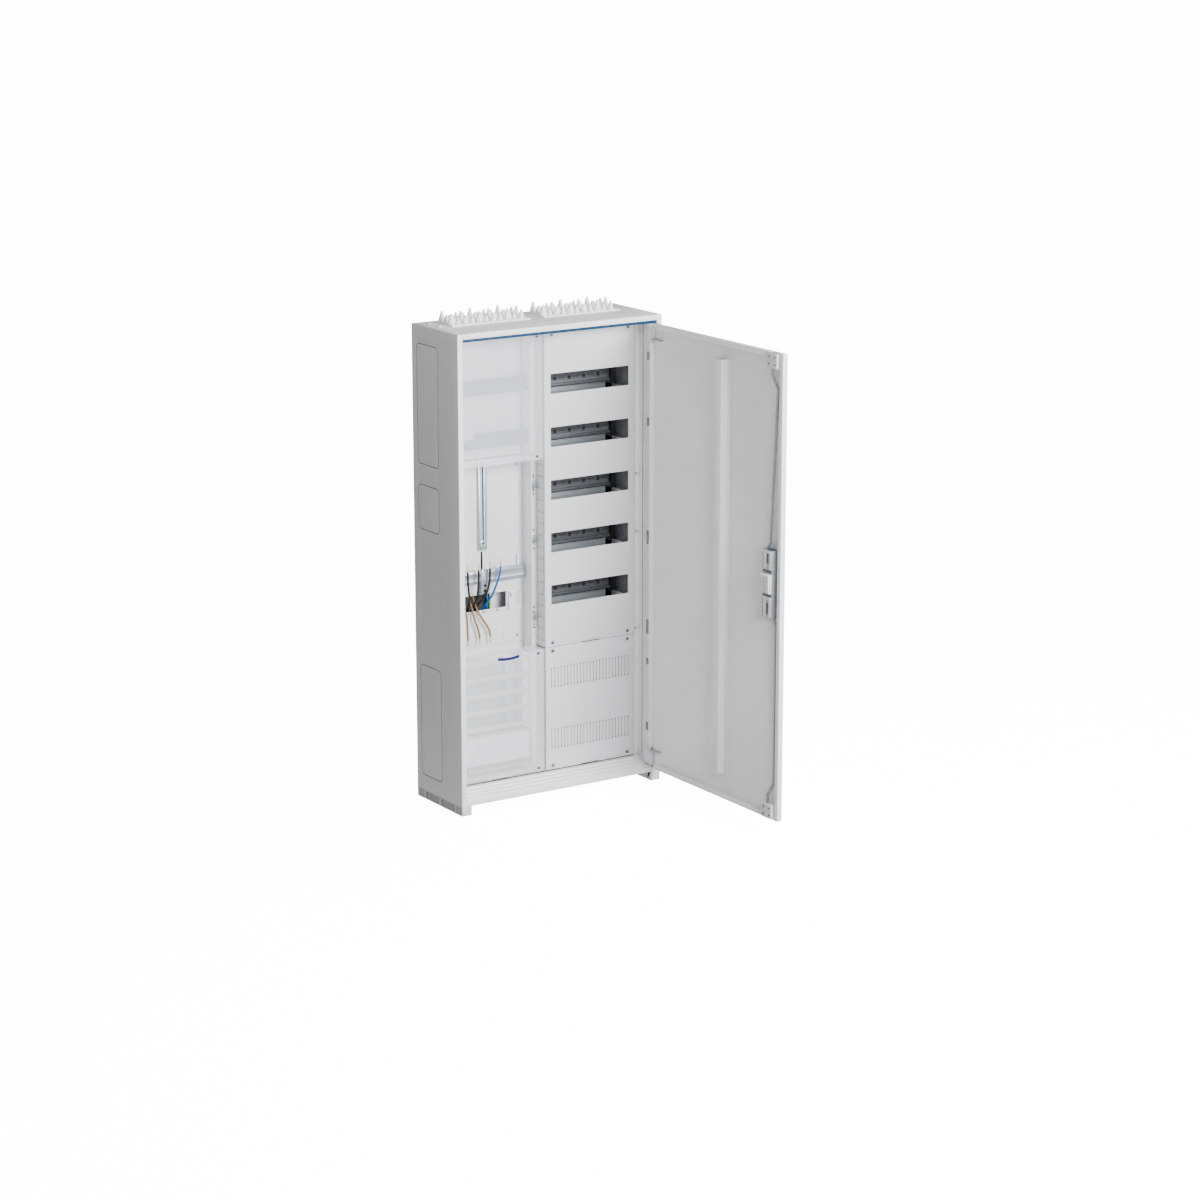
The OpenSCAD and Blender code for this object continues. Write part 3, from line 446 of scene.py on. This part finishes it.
def settle(piece, name, body, slot, *nodes):
    """Name a finished piece, give it its finish, and let it ride on a body."""
    piece.name = name
    piece.data.materials.clear()
    piece.data.materials.append(MATERIALS[slot])
    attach(piece, body)
    if nodes:
        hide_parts(*nodes)
    return piece

# %% [markdown]
# Sheet metal and mouldings never have knife edges. A bent sheet has a radius on the outside
# of each fold, and a moulding has one because plastic can't fill a sharp corner. The CAD nodes
# are plain solids, so a copy of each is merged into clean faces and bevelled by the radius that
# suits how it was made.

# %% Soften the edges of the CAD nodes
EDGE_MM = {
    "side_wall_left": 0.6, "side_wall_right": 0.6, "top_panel": 0.5, "bottom_panel": 0.5,
    "slot_profiles": 0.4, "sill_profile": 0.5, "feet": 0.8, "header_strip": 0.5,
    "field_posts": 0.4, "meter_plate": 0.4, "meter_track": 0.3, "cross_rail": 0.4,
    "window_frame": 0.3, "socket_plate": 0.5, "busbars": 0.6, "busbar_holders": 0.6,
    "touch_guard": 1.0, "feed_terminals": 1.0, "earth_bar": 0.6, "hinge_blocks": 0.6,
    "hinge_leaves": 0.3, "hinge_pins": 0.3, "door_panel": 0.4, "door_stiffener": 0.3,
    "door_screws": 0.4, "lock_case": 0.4, "rod_guides": 0.8,
    "door_handle": 1.2, "rod_upper": 0.4, "rod_lower": 0.4,
    "cover_upper_left": 1.0, "cover_lower_left": 1.0, "cover_upper_right": 1.0,
    "cover_lower_right": 0.25, "screws_upper_left": 0.3, "screws_lower_left": 0.3,
    "screws_upper_right": 0.3, "screws_lower_right": 0.3, "grip_strip": 0.3,
    "track_slider": 0.3, "rail_hanger": 0.4, "device_rails": 0.25, "spare_rails": 0.25,
    "back_panel": 0.5,
    "perforated_plate": 0.3, "post_blocks": 0.6, "wire_tips": 0.3,
}


def clean_copy(node):
    """A copy of a CAD node with its loose triangles merged into whole faces."""
    piece = bpy.data.objects.new(node + "_fine", frame["nodes"][node].data.copy())
    bpy.context.scene.collection.objects.link(piece)
    select_only(piece)
    bpy.ops.object.mode_set(mode="EDIT")
    bpy.ops.mesh.select_all(action="SELECT")
    bpy.ops.mesh.remove_doubles(threshold=0.005 * MM)
    bpy.ops.mesh.dissolve_limited(angle_limit=math.radians(0.5))
    bpy.ops.object.mode_set(mode="OBJECT")
    return piece


def soften(node, width_mm):
    piece = clean_copy(node)
    bevel(piece, width_mm)
    smooth(piece)
    return settle(piece, node + "_fine", BODY_OF[node], SLOT_OF[node], node)


for node, width in EDGE_MM.items():
    soften(node, width)
print("softened", len(EDGE_MM))

# %% [markdown]
# The small shapes come next. Each is drawn from boxes and cylinders in edit mode, in
# millimetres, where it belongs in the cabinet. A bevel then rounds it. Parts of the door are
# drawn with the door closed and then swung open about the hinge axis, as the CAD model does,
# because a closed door lies along the axes and is easier to measure.

# %% Helpers for small shapes
HINGE_AXIS = (256, -201)
TO_AXIS = Matrix.Translation((HINGE_AXIS[0] * MM, HINGE_AXIS[1] * MM, 0))
SWING = TO_AXIS @ Matrix.Rotation(math.pi / 2, 4, "Z") @ TO_AXIS.inverted()


def begin():
    """A new empty mesh at the origin, in edit mode."""
    piece = bpy.data.objects.new("small_shape", bpy.data.meshes.new("small_shape"))
    bpy.context.scene.collection.objects.link(piece)
    select_only(piece)
    bpy.ops.object.mode_set(mode="EDIT")
    return piece


def block(low, high):
    """A box between two corners, in millimetres."""
    middle = [(a + b) / 2 * MM for a, b in zip(low, high)]
    size = [(b - a) * MM for a, b in zip(low, high)]
    bpy.ops.mesh.primitive_cube_add(size=1, location=middle, scale=size)


def pin(centre, radius, length, axis="Y", sides=24, end_radius=None):
    """A cylinder or a cone whose middle is at the centre, in millimetres."""
    turn = {"Y": (math.pi / 2, 0, 0), "Z": (0, 0, 0)}[axis]
    end_radius = radius if end_radius is None else end_radius
    bpy.ops.mesh.primitive_cone_add(
        vertices=sides, radius1=radius * MM, radius2=end_radius * MM, depth=length * MM,
        location=[c * MM for c in centre], rotation=turn)


def end(piece, name, body, slot, edge_mm=0.3, on_door=False, nodes=()):
    """Leave edit mode, round the edges, swing a door part open and settle the piece."""
    bpy.ops.object.mode_set(mode="OBJECT")
    if edge_mm:
        bevel(piece, edge_mm)
    if on_door:
        piece.data.transform(SWING)
    smooth(piece)
    return settle(piece, name, body, slot, *nodes)


def slotted_screw(x, face, z, radius, bar_t, bar_h):
    """A round head on a face that looks towards the viewer, with a bar across it."""
    pin((x, face - 0.8, z), radius, 1.6)
    block((x - 1.8, face - 1.5 - bar_t, z - bar_h / 2), (x + 1.8, face - 1.5, z + bar_h / 2))

# %% [markdown]
# Each cable entry plate carries rows of stepped rubber cones, in four sizes. A fitter
# cuts a cone at the step that suits the cable. A smooth cone would be simpler to draw, but the
# steps are what catch the light, so every cone is a stack of short tapered drums.

# %% Cable entry plates
ENTRY_X = {"entry_plate_left": -123, "entry_plate_right": 122}
ENTRY_Y = -58
ENTRY_W = 210
ENTRY_D = 90
PLATE_LOW = 550
PLATE_STEP = 552
PLATE_TOP = 553
LIP_LOW = 544
CONE_COLUMNS = 11
CONE_PITCH = 18.6
CONE_SIZES = ((9.4, 23.8, 6), (6.4, 13, 4), (8.2, 18, 5), (6.8, 15, 4))  # radius, height, steps


def stepped_cone(x, y, radius, height, steps):
    """A cone in steps: each step is a short drum, a little narrower than the one below."""
    for k in range(steps):
        low = PLATE_TOP + height * k / steps - 0.4
        high = PLATE_TOP + height * (k + 1) / steps
        wide = radius * (1 - 0.62 * k / (steps - 1))
        pin((x, y, (low + high) / 2), wide, high - low, "Z", 16, wide * 0.8)


def entry_plate(node):
    x0 = ENTRY_X[node]
    half_w = ENTRY_W / 2
    half_d = ENTRY_D / 2
    piece = begin()
    for inset, low, high in ((0, PLATE_LOW, PLATE_STEP), (4, PLATE_STEP, PLATE_TOP)):
        block((x0 - half_w + inset, ENTRY_Y - half_d + inset, low),
              (x0 + half_w - inset, ENTRY_Y + half_d - inset, high))
    for side in (-1, 1):
        y = ENTRY_Y + side * 37.5
        block((x0 - 98, y - 1, LIP_LOW), (x0 + 98, y + 1, PLATE_LOW + 0.5))
        x = x0 + side * 97.5
        block((x - 1, ENTRY_Y - 38, LIP_LOW), (x + 1, ENTRY_Y + 38, PLATE_LOW + 0.5))
    for i in range(CONE_COLUMNS):
        for j in (-1, 0, 1):
            x = x0 + (i - CONE_COLUMNS // 2) * CONE_PITCH + j * 3
            size = CONE_SIZES[(i + 2 * (j + 1)) % len(CONE_SIZES)]
            stepped_cone(x, ENTRY_Y + j * 26, *size)
    end(piece, node + "_fine", "cabinet", SLOT_OF[node], 0, nodes=(node,))
    piece.data.materials[0] = MATERIALS["gloss_white"]


for node in ENTRY_X:
    entry_plate(node)
print("entry plates", len(ENTRY_X), "cones on each", CONE_COLUMNS * 3)

# %% [markdown]
# The covers have shallow mouldings: a well around every screw, and a recessed grip in the
# middle of the lower and upper edges. Each well is a ring of flat discs, which needs no cut in
# the cover, and the grips lie just behind its face.

# %% Cover mouldings
FIELD_W = 250
FIELD_TOP = 525
SPLIT = 225
Y_COVER = -130
COVERS = {
    "upper_left": (-FIELD_W, 0, SPLIT, FIELD_TOP),
    "lower_left": (-FIELD_W, 0, -FIELD_TOP, -SPLIT),
    "upper_right": (0, FIELD_W, -SPLIT, FIELD_TOP),
    "lower_right": (0, FIELD_W, -FIELD_TOP, -SPLIT),
}
GRIP_W = 58
GRIP_H = 5.5
SCREW_IN_X = 20
SCREW_IN_Z = 10
WELL_R = 6.2
WELL_DISCS = 12


def cover_mouldings(key, x0, x1, z0, z1):
    middle = (x0 + x1) / 2
    piece = begin()
    for edge, inward in ((z0 + 0.5, 1), (z1 - 0.5, -1)):
        low, high = sorted((edge, edge + inward * GRIP_H))
        block((middle - GRIP_W / 2, Y_COVER + 3.2, low), (middle + GRIP_W / 2, Y_COVER + 4.4, high))
    for x in (x0 + SCREW_IN_X, x1 - SCREW_IN_X):
        for z in (z0 + SCREW_IN_Z, z1 - SCREW_IN_Z):
            for k in range(WELL_DISCS):
                a = k * math.tau / WELL_DISCS
                place = (x + WELL_R * math.cos(a), Y_COVER - 0.15, z + WELL_R * math.sin(a))
                pin(place, 1.8, 0.3, "Y", 8)
    end(piece, "mouldings_" + key, BODY_OF["cover_" + key], SLOT_OF["cover_" + key], 0)


for key, edges in COVERS.items():
    cover_mouldings(key, *edges)
print("covers", len(COVERS))

# %% [markdown]
# The lower right cover has two rows of strips that break out to let a device through. The mould
# leaves a thin line between strips, with a hole at each end where the break starts. Painted shade
# draws them: thin dark boxes and discs, since lines this fine would be lost as real grooves.

# %% Break-out strips
SCORE_ROWS = (-450, -300)
SCORE_FIRST = 17
SCORE_PITCH = 9
SCORE_COUNT = 25
SCORE_W = 1.2
SCORE_H = 45
# Painted shade: dark lines and discs for the score grooves and their end holes.
scores = begin()
for z in SCORE_ROWS:
    for i in range(SCORE_COUNT):
        x = SCORE_FIRST + i * SCORE_PITCH
        block((x - SCORE_W / 2, Y_COVER - 0.15, z - SCORE_H / 2),
              (x + SCORE_W / 2, Y_COVER + 0.3, z + SCORE_H / 2))
        for side in (-1, 1):
            pin((x, Y_COVER, z + side * (SCORE_H / 2 + 0.5)), 1.7, 0.4, "Y", 12)
end(scores, "break_out_score_shades", "lower_right_cover", "grey_plastic", 0)
print("score lines", len(SCORE_ROWS) * SCORE_COUNT)

# %% [markdown]
# Neighbouring covers don't quite touch, and the gap between them looks black, because no light
# comes back out of it. A thin black strip of painted shadow in each gap keeps it dark in any
# light. The one side wall of a cover that shows, on the tall cover, has ladder ribs.

# %% Gaps and ribs
Y_POST = -91
SEAM = 0.5
seam_top = FIELD_TOP - SEAM
seam_split = SPLIT + SEAM
seam_side = FIELD_W - SEAM
# Painted shadow: black strips that fill the gaps between the covers.
gap_shadows = begin()
block((-SEAM, Y_COVER + 0.3, -seam_top), (SEAM, Y_POST, -seam_split))
block((-SEAM, Y_COVER + 4, seam_split), (SEAM, Y_POST, seam_top - SEAM))
block((SEAM, Y_COVER + 0.3, -seam_split), (seam_side, Y_POST, -seam_split + 2 * SEAM))
block((-seam_side, Y_COVER + SEAM, -FIELD_TOP - 1.3), (seam_side, Y_POST, -FIELD_TOP + 0.4))
block((FIELD_W - 0.4, Y_COVER + SEAM, -seam_top), (FIELD_W + 0.4, Y_POST, seam_top))
block((-FIELD_W - 0.4, Y_COVER + SEAM, -seam_top), (-FIELD_W + 0.4, Y_POST, -SPLIT))
end(gap_shadows, "cover_gap_shadows", "cabinet", "black_pvc", 0)

RIB_END = 214
RIB_PITCH = 28
RIB_T = 0.8
ribs = begin()
for z in range(4 - RIB_END, RIB_END, RIB_PITCH):
    block((0.0, Y_COVER + 6, z - 0.9), (RIB_T, Y_POST - 5, z + 0.9))
for y in (Y_COVER + 6, Y_POST - 6):
    block((0.0, y - 0.6, -RIB_END), (RIB_T, y + 0.6, RIB_END))
end(ribs, "ladder_ribs", "upper_right_cover", "lock_zinc", 0.15)
print("ribs every", RIB_PITCH, "mm")

# %% [markdown]
# Behind the slots of the inner profiles lies a grey zinc strip with hooks bent out of it, on
# which the covers and the hinges are hung. It shows only through the slots, so a flat strip
# with small blocks at the slots is enough.

# %% Strips behind the profiles
STRIP_X = 265
STRIP_END = 520
SLOT_Z = (448, 292, 15, -202, -287, -447)
HOOK_Z = (165, 25, -210)
strips = begin()
for side in (-1, 1):
    x0, x1 = sorted((side * STRIP_X, side * (STRIP_X + 1)))
    block((x0, -176, -STRIP_END), (x1, -158, STRIP_END))
    for z in SLOT_Z:
        x0, x1 = sorted((side * (STRIP_X - 3.5), side * (STRIP_X + 0.5)))
        block((x0, -170, z - 1.5), (x1, -164, z + 4))
end(strips, "profile_strips", "cabinet", "lock_zinc", 0.2)

hooks = begin()
for z in HOOK_Z:
    block((251, Y_COVER - 6, z - 1.2), (263, Y_COVER - 0.4, z + 1.2))
    block((251, Y_COVER - 6, z - 4), (253, Y_COVER - 0.4, z + 1.2))
end(hooks, "cover_hooks", "cabinet", "white_plastic", 0.3)
print("hooks", len(HOOK_Z))

# %% [markdown]
# The meter field has the marks of a pressed plate: a raised edge around each panel of it. Four
# narrow bars make one edge. The middle post carries small latches and screws that hold the
# covers, and each screw is a round head with a bar across it for its slot.

# %% Meter field
Y_METER = -52
PANELS = ((-236, -150, 20, 214), (-100, -20, 20, 214), (-236, -66, -215, -150))  # x0, x1, z0, z1
pressing = begin()
for x0, x1, z0, z1 in PANELS:
    bars = (((x0, z0), (x1, z0 + 1)), ((x0, z1 - 1), (x1, z1)),
            ((x0, z0), (x0 + 1, z1)), ((x1 - 1, z0), (x1, z1)))
    for low, high in bars:
        block((low[0], Y_METER - 0.5, low[1]), (high[0], Y_METER + 0.2, high[1]))
block((-31, Y_METER - 5, -62), (-27, Y_METER + 0.2, -8))
end(pressing, "meter_pressing", "cabinet", "white_plastic", 0.2)

LATCH_Z = (160, 30, -156)
latches = begin()
for z in LATCH_Z:
    block((-10, Y_POST - 3.5, z - 9), (-3, Y_POST + 0.2, z + 9))
    block((-8, Y_POST - 5.5, z - 3), (-5, Y_POST - 3, z + 3))
end(latches, "post_latches", "cabinet", "lock_zinc", 0.3)

POST_SCREWS = [(-7, z) for z in (182, 138, 52, 8, -134, -182)]
PLATE_SCREWS = [(x, z) for x in (-30, -225) for z in (205, -205)]
field_screws = begin()
for face, spots in ((Y_POST, POST_SCREWS), (Y_METER, PLATE_SCREWS)):
    for x, z in spots:
        slotted_screw(x, face, z, 2.4, 0.5, 0.8)
end(field_screws, "field_screws", "cabinet", "steel_pin", 0.2)
print("field screws", len(POST_SCREWS) + len(PLATE_SCREWS))

# %% [markdown]
# Pale equipment fills the space behind the clear covers. Flat sheets stand in for it, so that
# little of the zinc back shows through the plastic: white ones behind the upper cover, below
# the meter plate and behind its window, and grey ones behind the lower cover. The small grey
# one behind the busbar holders is painted shade.

# %% Sheets behind the covers
LINER_X = (-237, -13)
liners = begin()
block((LINER_X[0], -49, 228), (LINER_X[1], -48, 520))
block((LINER_X[0], -51.8, -252), (LINER_X[1], -50.2, -225.3))
block((-88, -22, -148), (-34, -21, -82))
end(liners, "field_liners", "cabinet", "white_plastic", 0.2)

low_liner_and_shade = begin()
block((LINER_X[0], -41, -520), (LINER_X[1], -40, -226))
# Painted shade: the small grey sheet behind the busbar holders.
block((-62, -49, -470), (-30, -48, -252))
end(low_liner_and_shade, "low_field_liner_and_holder_shade", "cabinet", "lock_zinc", 0.2)
print("sheets", liners.name, low_liner_and_shade.name)

# %% [markdown]
# Thin dark lines of painted shadow mark the edges of the spare rails and of the inner profile,
# where one sheet stands in front of another. The socket plate, the hanger and the slider have small
# holes. Both are painted shade, drawn as shallow dark shapes on the face, which reads the same from
# where they are seen.

# %% Dark edges and holes
RAIL_EDGE = 17.2
SPARE_RAIL_Z = (400, 275)
# Painted shadow: thin dark lines at the rail and profile edges.
shades = begin()
for z in SPARE_RAIL_Z:
    for side in (-1, 1):
        edge = z + side * RAIL_EDGE
        block((-238, -80.8, edge - 0.8), (-12, -79.8, edge + 0.8))
for y in (-188, -146):
    block((262.3, y - 0.7, -520), (262.9, y + 0.7, 522))
end(shades, "field_edge_shadow_lines", "cabinet", "grey_plastic", 0)

Y_SOCKET = -56.2
SOCKET_Z = (-101, -109, -117, -125)
WINDOW_SLOT_X = (-164, -122, -84)
# Painted shade: black discs and bars for the holes and slots of the socket plate and the window.
marks = begin()
for z in SOCKET_Z:
    pin((-27, Y_SOCKET, z), 1.5, 1.0, "Y", 12)
    pin((-33, Y_SOCKET, z - 4), 1.1, 1.0, "Y", 12)
block((-50, Y_SOCKET - 0.3, -112), (-48, Y_SOCKET + 0.4, -100))
for x in WINDOW_SLOT_X:
    block((x - 4, -54.4, -138.5), (x + 4, -53.8, -136.5))
end(marks, "socket_holes", "cabinet", "black_pvc", 0)


def face_holes(body, face, spots):
    """Dark discs of painted shade on the face of a sliding part, at its holes. Each spot is x, z and
    radius.
    """
    holes = begin()
    for x, z, radius in spots:
        pin((x, face, z), radius, 0.6, "Y", 16)
    end(holes, body + "_holes", body, "black_pvc", 0)


face_holes("hanger", -66.6, ((-125, -71, 3.2), (-125, -84, 3.2)))
face_holes("slider", -61.8, ((-125, 28, 2.4), (-129, 19, 1.2), (-121, 19, 1.2)))

# %% [markdown]
# The rails' holes and the gap at their ends look black, because the space behind them is closed.
# A dark block of painted shade behind every hole keeps that in any light. Below each rail a grey
# shelf catches the light, and a grey sheet of painted shade beside it closes the right end of the slot.

# %% Rail ends
ROW_TOP = 400
ROW_PITCH = 125
ROWS = 5
RAIL_X = (13, FIELD_W - 36)
HOLE_PITCH = 40
HOLES = 6
row_z = [ROW_TOP - ROW_PITCH * k for k in range(ROWS)]
# Painted shade: black blocks behind the rail holes, at the rail ends and under each rail's lower edge.
hole_shadows = begin()
for z in row_z:
    block((RAIL_X[1], -84, z - 24), (RAIL_X[1] + 14, -60, z + 24))
    for k in range(HOLES):
        x = 20 + HOLE_PITCH * k
        block((x, -74.1, z - 4), (x + 8, -73.3, z + 4))
        for m in (-1, 0, 1):
            pin((x + 24 + 6 * m, -73.8, z), 1.4, 0.8, "Y", 12)
    block((RAIL_X[0], -80.6, z - 18.4), (RAIL_X[1], -79.4, z - 17.2))
end(hole_shadows, "rail_hole_shadows", "cabinet", "black_pvc", 0)

shelves_and_end_shade = begin()
for z in row_z:
    block((RAIL_X[0], -60, z - 44), (RAIL_X[1], -59, z - 16))
    # Painted shade: a grey sheet at the right end of each slot, which hides the brighter post behind it.
    block((237.2, Y_COVER + 6, z - 30), (237.9, -51, z + 30))
end(shelves_and_end_shade, "rail_shelves_and_end_shade", "cabinet", "lock_zinc", 0.2)
print("rows of devices", len(row_z))

# %% [markdown]
# Each hinge block is held to the frame by two screws. A round head with a bar across it is
# enough at this size.

# %% Hinge screws
HINGE_SCREW_X = 254
HINGE_SCREW_Z = (506, 518, -508, -520)
Y_HINGE_BLOCK = -194.6
hinge_screws = begin()
for z in HINGE_SCREW_Z:
    slotted_screw(HINGE_SCREW_X, Y_HINGE_BLOCK, z, 2.6, 0.6, 1.0)
end(hinge_screws, "hinge_screws", "cabinet", "steel_pin", 0.2)

# %% [markdown]
# The lock is a tall channel of pressed sheet. Two narrow plates stand on it above and below a
# ribbed moulded housing, which covers the pinion. The housing takes the place of the plain
# cover in the CAD model, because its ribs are too fine to be worth drawing there.

# %% Lock
LOCK_X = -219.7
LOCK_Z = 8
CASE_Y = -186


def on_case(across, out, up):
    """A box on the lock case. Each pair is measured from the middle of the case's face."""
    block((LOCK_X + across[0], CASE_Y + out[0], LOCK_Z + up[0]),
          (LOCK_X + across[1], CASE_Y + out[1], LOCK_Z + up[1]))


lock_plates = begin()
for low, high in ((34, 76), (-76, -30)):
    for x in (-15, 4):
        on_case((x, x + 8), (-0.2, 1.6), (low, high))
    on_case((-16, 16), (-0.2, 3.0), (high - 5, high - 1))
end(lock_plates, "lock_plates", "door", "white_plastic", 0.3, on_door=True)

housing = begin()
on_case((-16.5, 16.5), (-0.2, 5), (-21, 23))
for x in (-13, -7, 0, 7, 13):
    on_case((x - 1.2, x + 1.2), (4, 8), (-20, 22))
on_case((-15, 15), (4, 7), (-3, 1))
pin((LOCK_X, CASE_Y + 6, LOCK_Z), 6, 4)
end(housing, "lock_cover_fine", "door", "white_plastic", 0.5, on_door=True, nodes=("lock_cover",))

# Painted shade: dark grey bars in the gaps between the lock's plates and its housing.
lock_dark = begin()
for z in (29, -26):
    on_case((-15, 15), (-0.1, 0.8), (z - 2.5, z + 2.5))
for z in (60, -56):
    on_case((-5.5, 2.5), (-0.1, 0.5), (z - 13, z + 13))
end(lock_dark, "lock_gap_shades", "door", "grey_plastic", 0.1, on_door=True)
print("lock pieces", lock_plates.name, housing.name, lock_dark.name)

# %% [markdown]
# A moulded guide near each end of the door keeps its rod straight. It has four ribs across it
# and a screw at each corner.

# %% Rod guides
GUIDE_LOW = (495.5, -536.5)
guide_ribs = begin()
for low in GUIDE_LOW:
    for z in (low + 4, low + 12, low + 20, low + 28):
        block((-246, -186.2, z), (-208, -185.2, z + 1.6))
end(guide_ribs, "guide_ribs", "door", "white_plastic", 0.3, on_door=True)

guide_screws = begin()
for low in GUIDE_LOW:
    for z in (low + 9, low + 25):
        for x in (-238, -216):
            pin((x, -185.6, z), 2.4, 1.6)
end(guide_screws, "guide_screws", "door", "steel_pin", 0.2, on_door=True)
print("rod guides", len(GUIDE_LOW))

# %% [markdown]
# Round plugs close two spare holes in the top. The feet are hollow mouldings with upright bars
# on the outside and dark space between them, so the bars are drawn pale in front of dark plates
# of painted shade.

# %% Plugs and feet
PLUG_X = -250
PLUG_Y = (-37, -83)
plugs = begin()
for y in PLUG_Y:
    pin((PLUG_X, y, 551), 6, 2, "Z", 24)
    pin((PLUG_X, y, 552.4), 4.4, 1.2, "Z", 24)
end(plugs, "top_plugs", "cabinet", "white_plastic", 0.4)

FOOT_LOW = -569.4
FOOT_HIGH = -552.6
POCKET_SHADE_Y = (-196, -188, -180, -9, -17, -25)
# Painted shade: dark plates in the hollows of the feet, behind the bars.
pocket_shades = begin()
for side in (-1, 1):
    x0, x1 = sorted((side * 265.5, side * 266.0))
    block((x0, -203, FOOT_LOW + 0.6), (x1, -2, FOOT_HIGH - 0.6))
    x0, x1 = sorted((side * 271.4, side * 271.9))
    for y in POCKET_SHADE_Y:
        block((x0, y - 2.4, FOOT_LOW + 0.6), (x1, y + 2.4, FOOT_HIGH - 0.6))
end(pocket_shades, "foot_pocket_shades", "cabinet", "grey_plastic", 0)

BAR_PITCH = 8
BAR_COUNT = 6
BAR_GROUPS = (-137.5, -67.5)
foot_bars = begin()
for side in (-1, 1):
    x0, x1 = sorted((side * 265, side * 274.6))
    for middle in BAR_GROUPS:
        for k in range(BAR_COUNT):
            y = middle - 22 + BAR_PITCH * k
            block((x0, y - 1.2, FOOT_LOW), (x1, y + 1.2, FOOT_HIGH))
        block((x0, middle - 29, -562), (x1, middle + 29, -560.6))
end(foot_bars, "foot_bars", "cabinet", "foot_plastic", 0.2)
print("small shapes done")

# %% [markdown]
# The floor and the light are a plain studio. The pale floor runs out of sight and glows, so
# that it meets the white sky without an edge, but it is hidden from bounced light, or it would
# light the cabinet from below. A black card to the left keeps that side wall darker.

# %% Studio
FLOOR_SIZE = 120
FLOOR_GLOW = 14.0
FLAG_PLACE = (-0.95, 0.05, 0)
FLAG_SCALE = (1.5, 0.9, 1)
bpy.ops.object.select_all(action="DESELECT")
bpy.ops.mesh.primitive_plane_add(size=FLOOR_SIZE, location=(0, 0, cad_box[0][2]))
floor = bpy.context.active_object
floor.name = "studio_floor"
floor_shader = new_finish("floor", "pale_floor", "#f7f7f7", 0.9)[1]
floor_shader.inputs["Emission Color"].default_value = (1, 1, 1, 1)
floor_shader.inputs["Emission Strength"].default_value = FLOOR_GLOW
floor.visible_diffuse = False
floor.visible_glossy = False
floor.data.materials.append(MATERIALS["floor"])

bpy.ops.object.select_all(action="DESELECT")
bpy.ops.mesh.primitive_plane_add(size=1, location=FLAG_PLACE, rotation=(0, math.pi / 2, 0))
flag = bpy.context.active_object
flag.name = "studio_flag"
flag.scale = FLAG_SCALE
new_finish("flag", "black_card", "#101010", 0.9)
flag.data.materials.append(MATERIALS["flag"])
flag.visible_camera = False
flag.visible_shadow = False

SKY_STRENGTH = 0.68
world = bpy.data.worlds.new("studio")
world.use_nodes = True
sky = world.node_tree.nodes["Background"]
sky.inputs["Color"].default_value = (1, 1, 1, 1)
sky.inputs["Strength"].default_value = SKY_STRENGTH
bpy.context.scene.world = world

# %% [markdown]
# Two round area lamps stand in front. The large one lights everything that faces the viewer
# and is far enough off to give soft shadows. The small one lifts the inside of the open door.

# %% Lamps
def lamp(name, place, target, size, power):
    """A round area lamp at a place, aimed at a target, with its size in metres and its watts."""
    data = bpy.data.lights.new(name, "AREA")
    data.shape = "DISK"
    data.size = size
    data.energy = power
    lamp_object = bpy.data.objects.new(name, data)
    lamp_object.location = place
    aim = Vector(target) - Vector(place)
    lamp_object.rotation_euler = aim.to_track_quat("-Z", "Y").to_euler()
    lamp_object.visible_camera = False
    bpy.context.scene.collection.objects.link(lamp_object)


lamp("key_lamp", (0.9, -4.4, 1.7), (0, -0.2, 0), 2.0, 400)
lamp("door_lamp", (-0.25, -2.2, 0.5), (0.25, -0.5, 0), 0.4, 16)
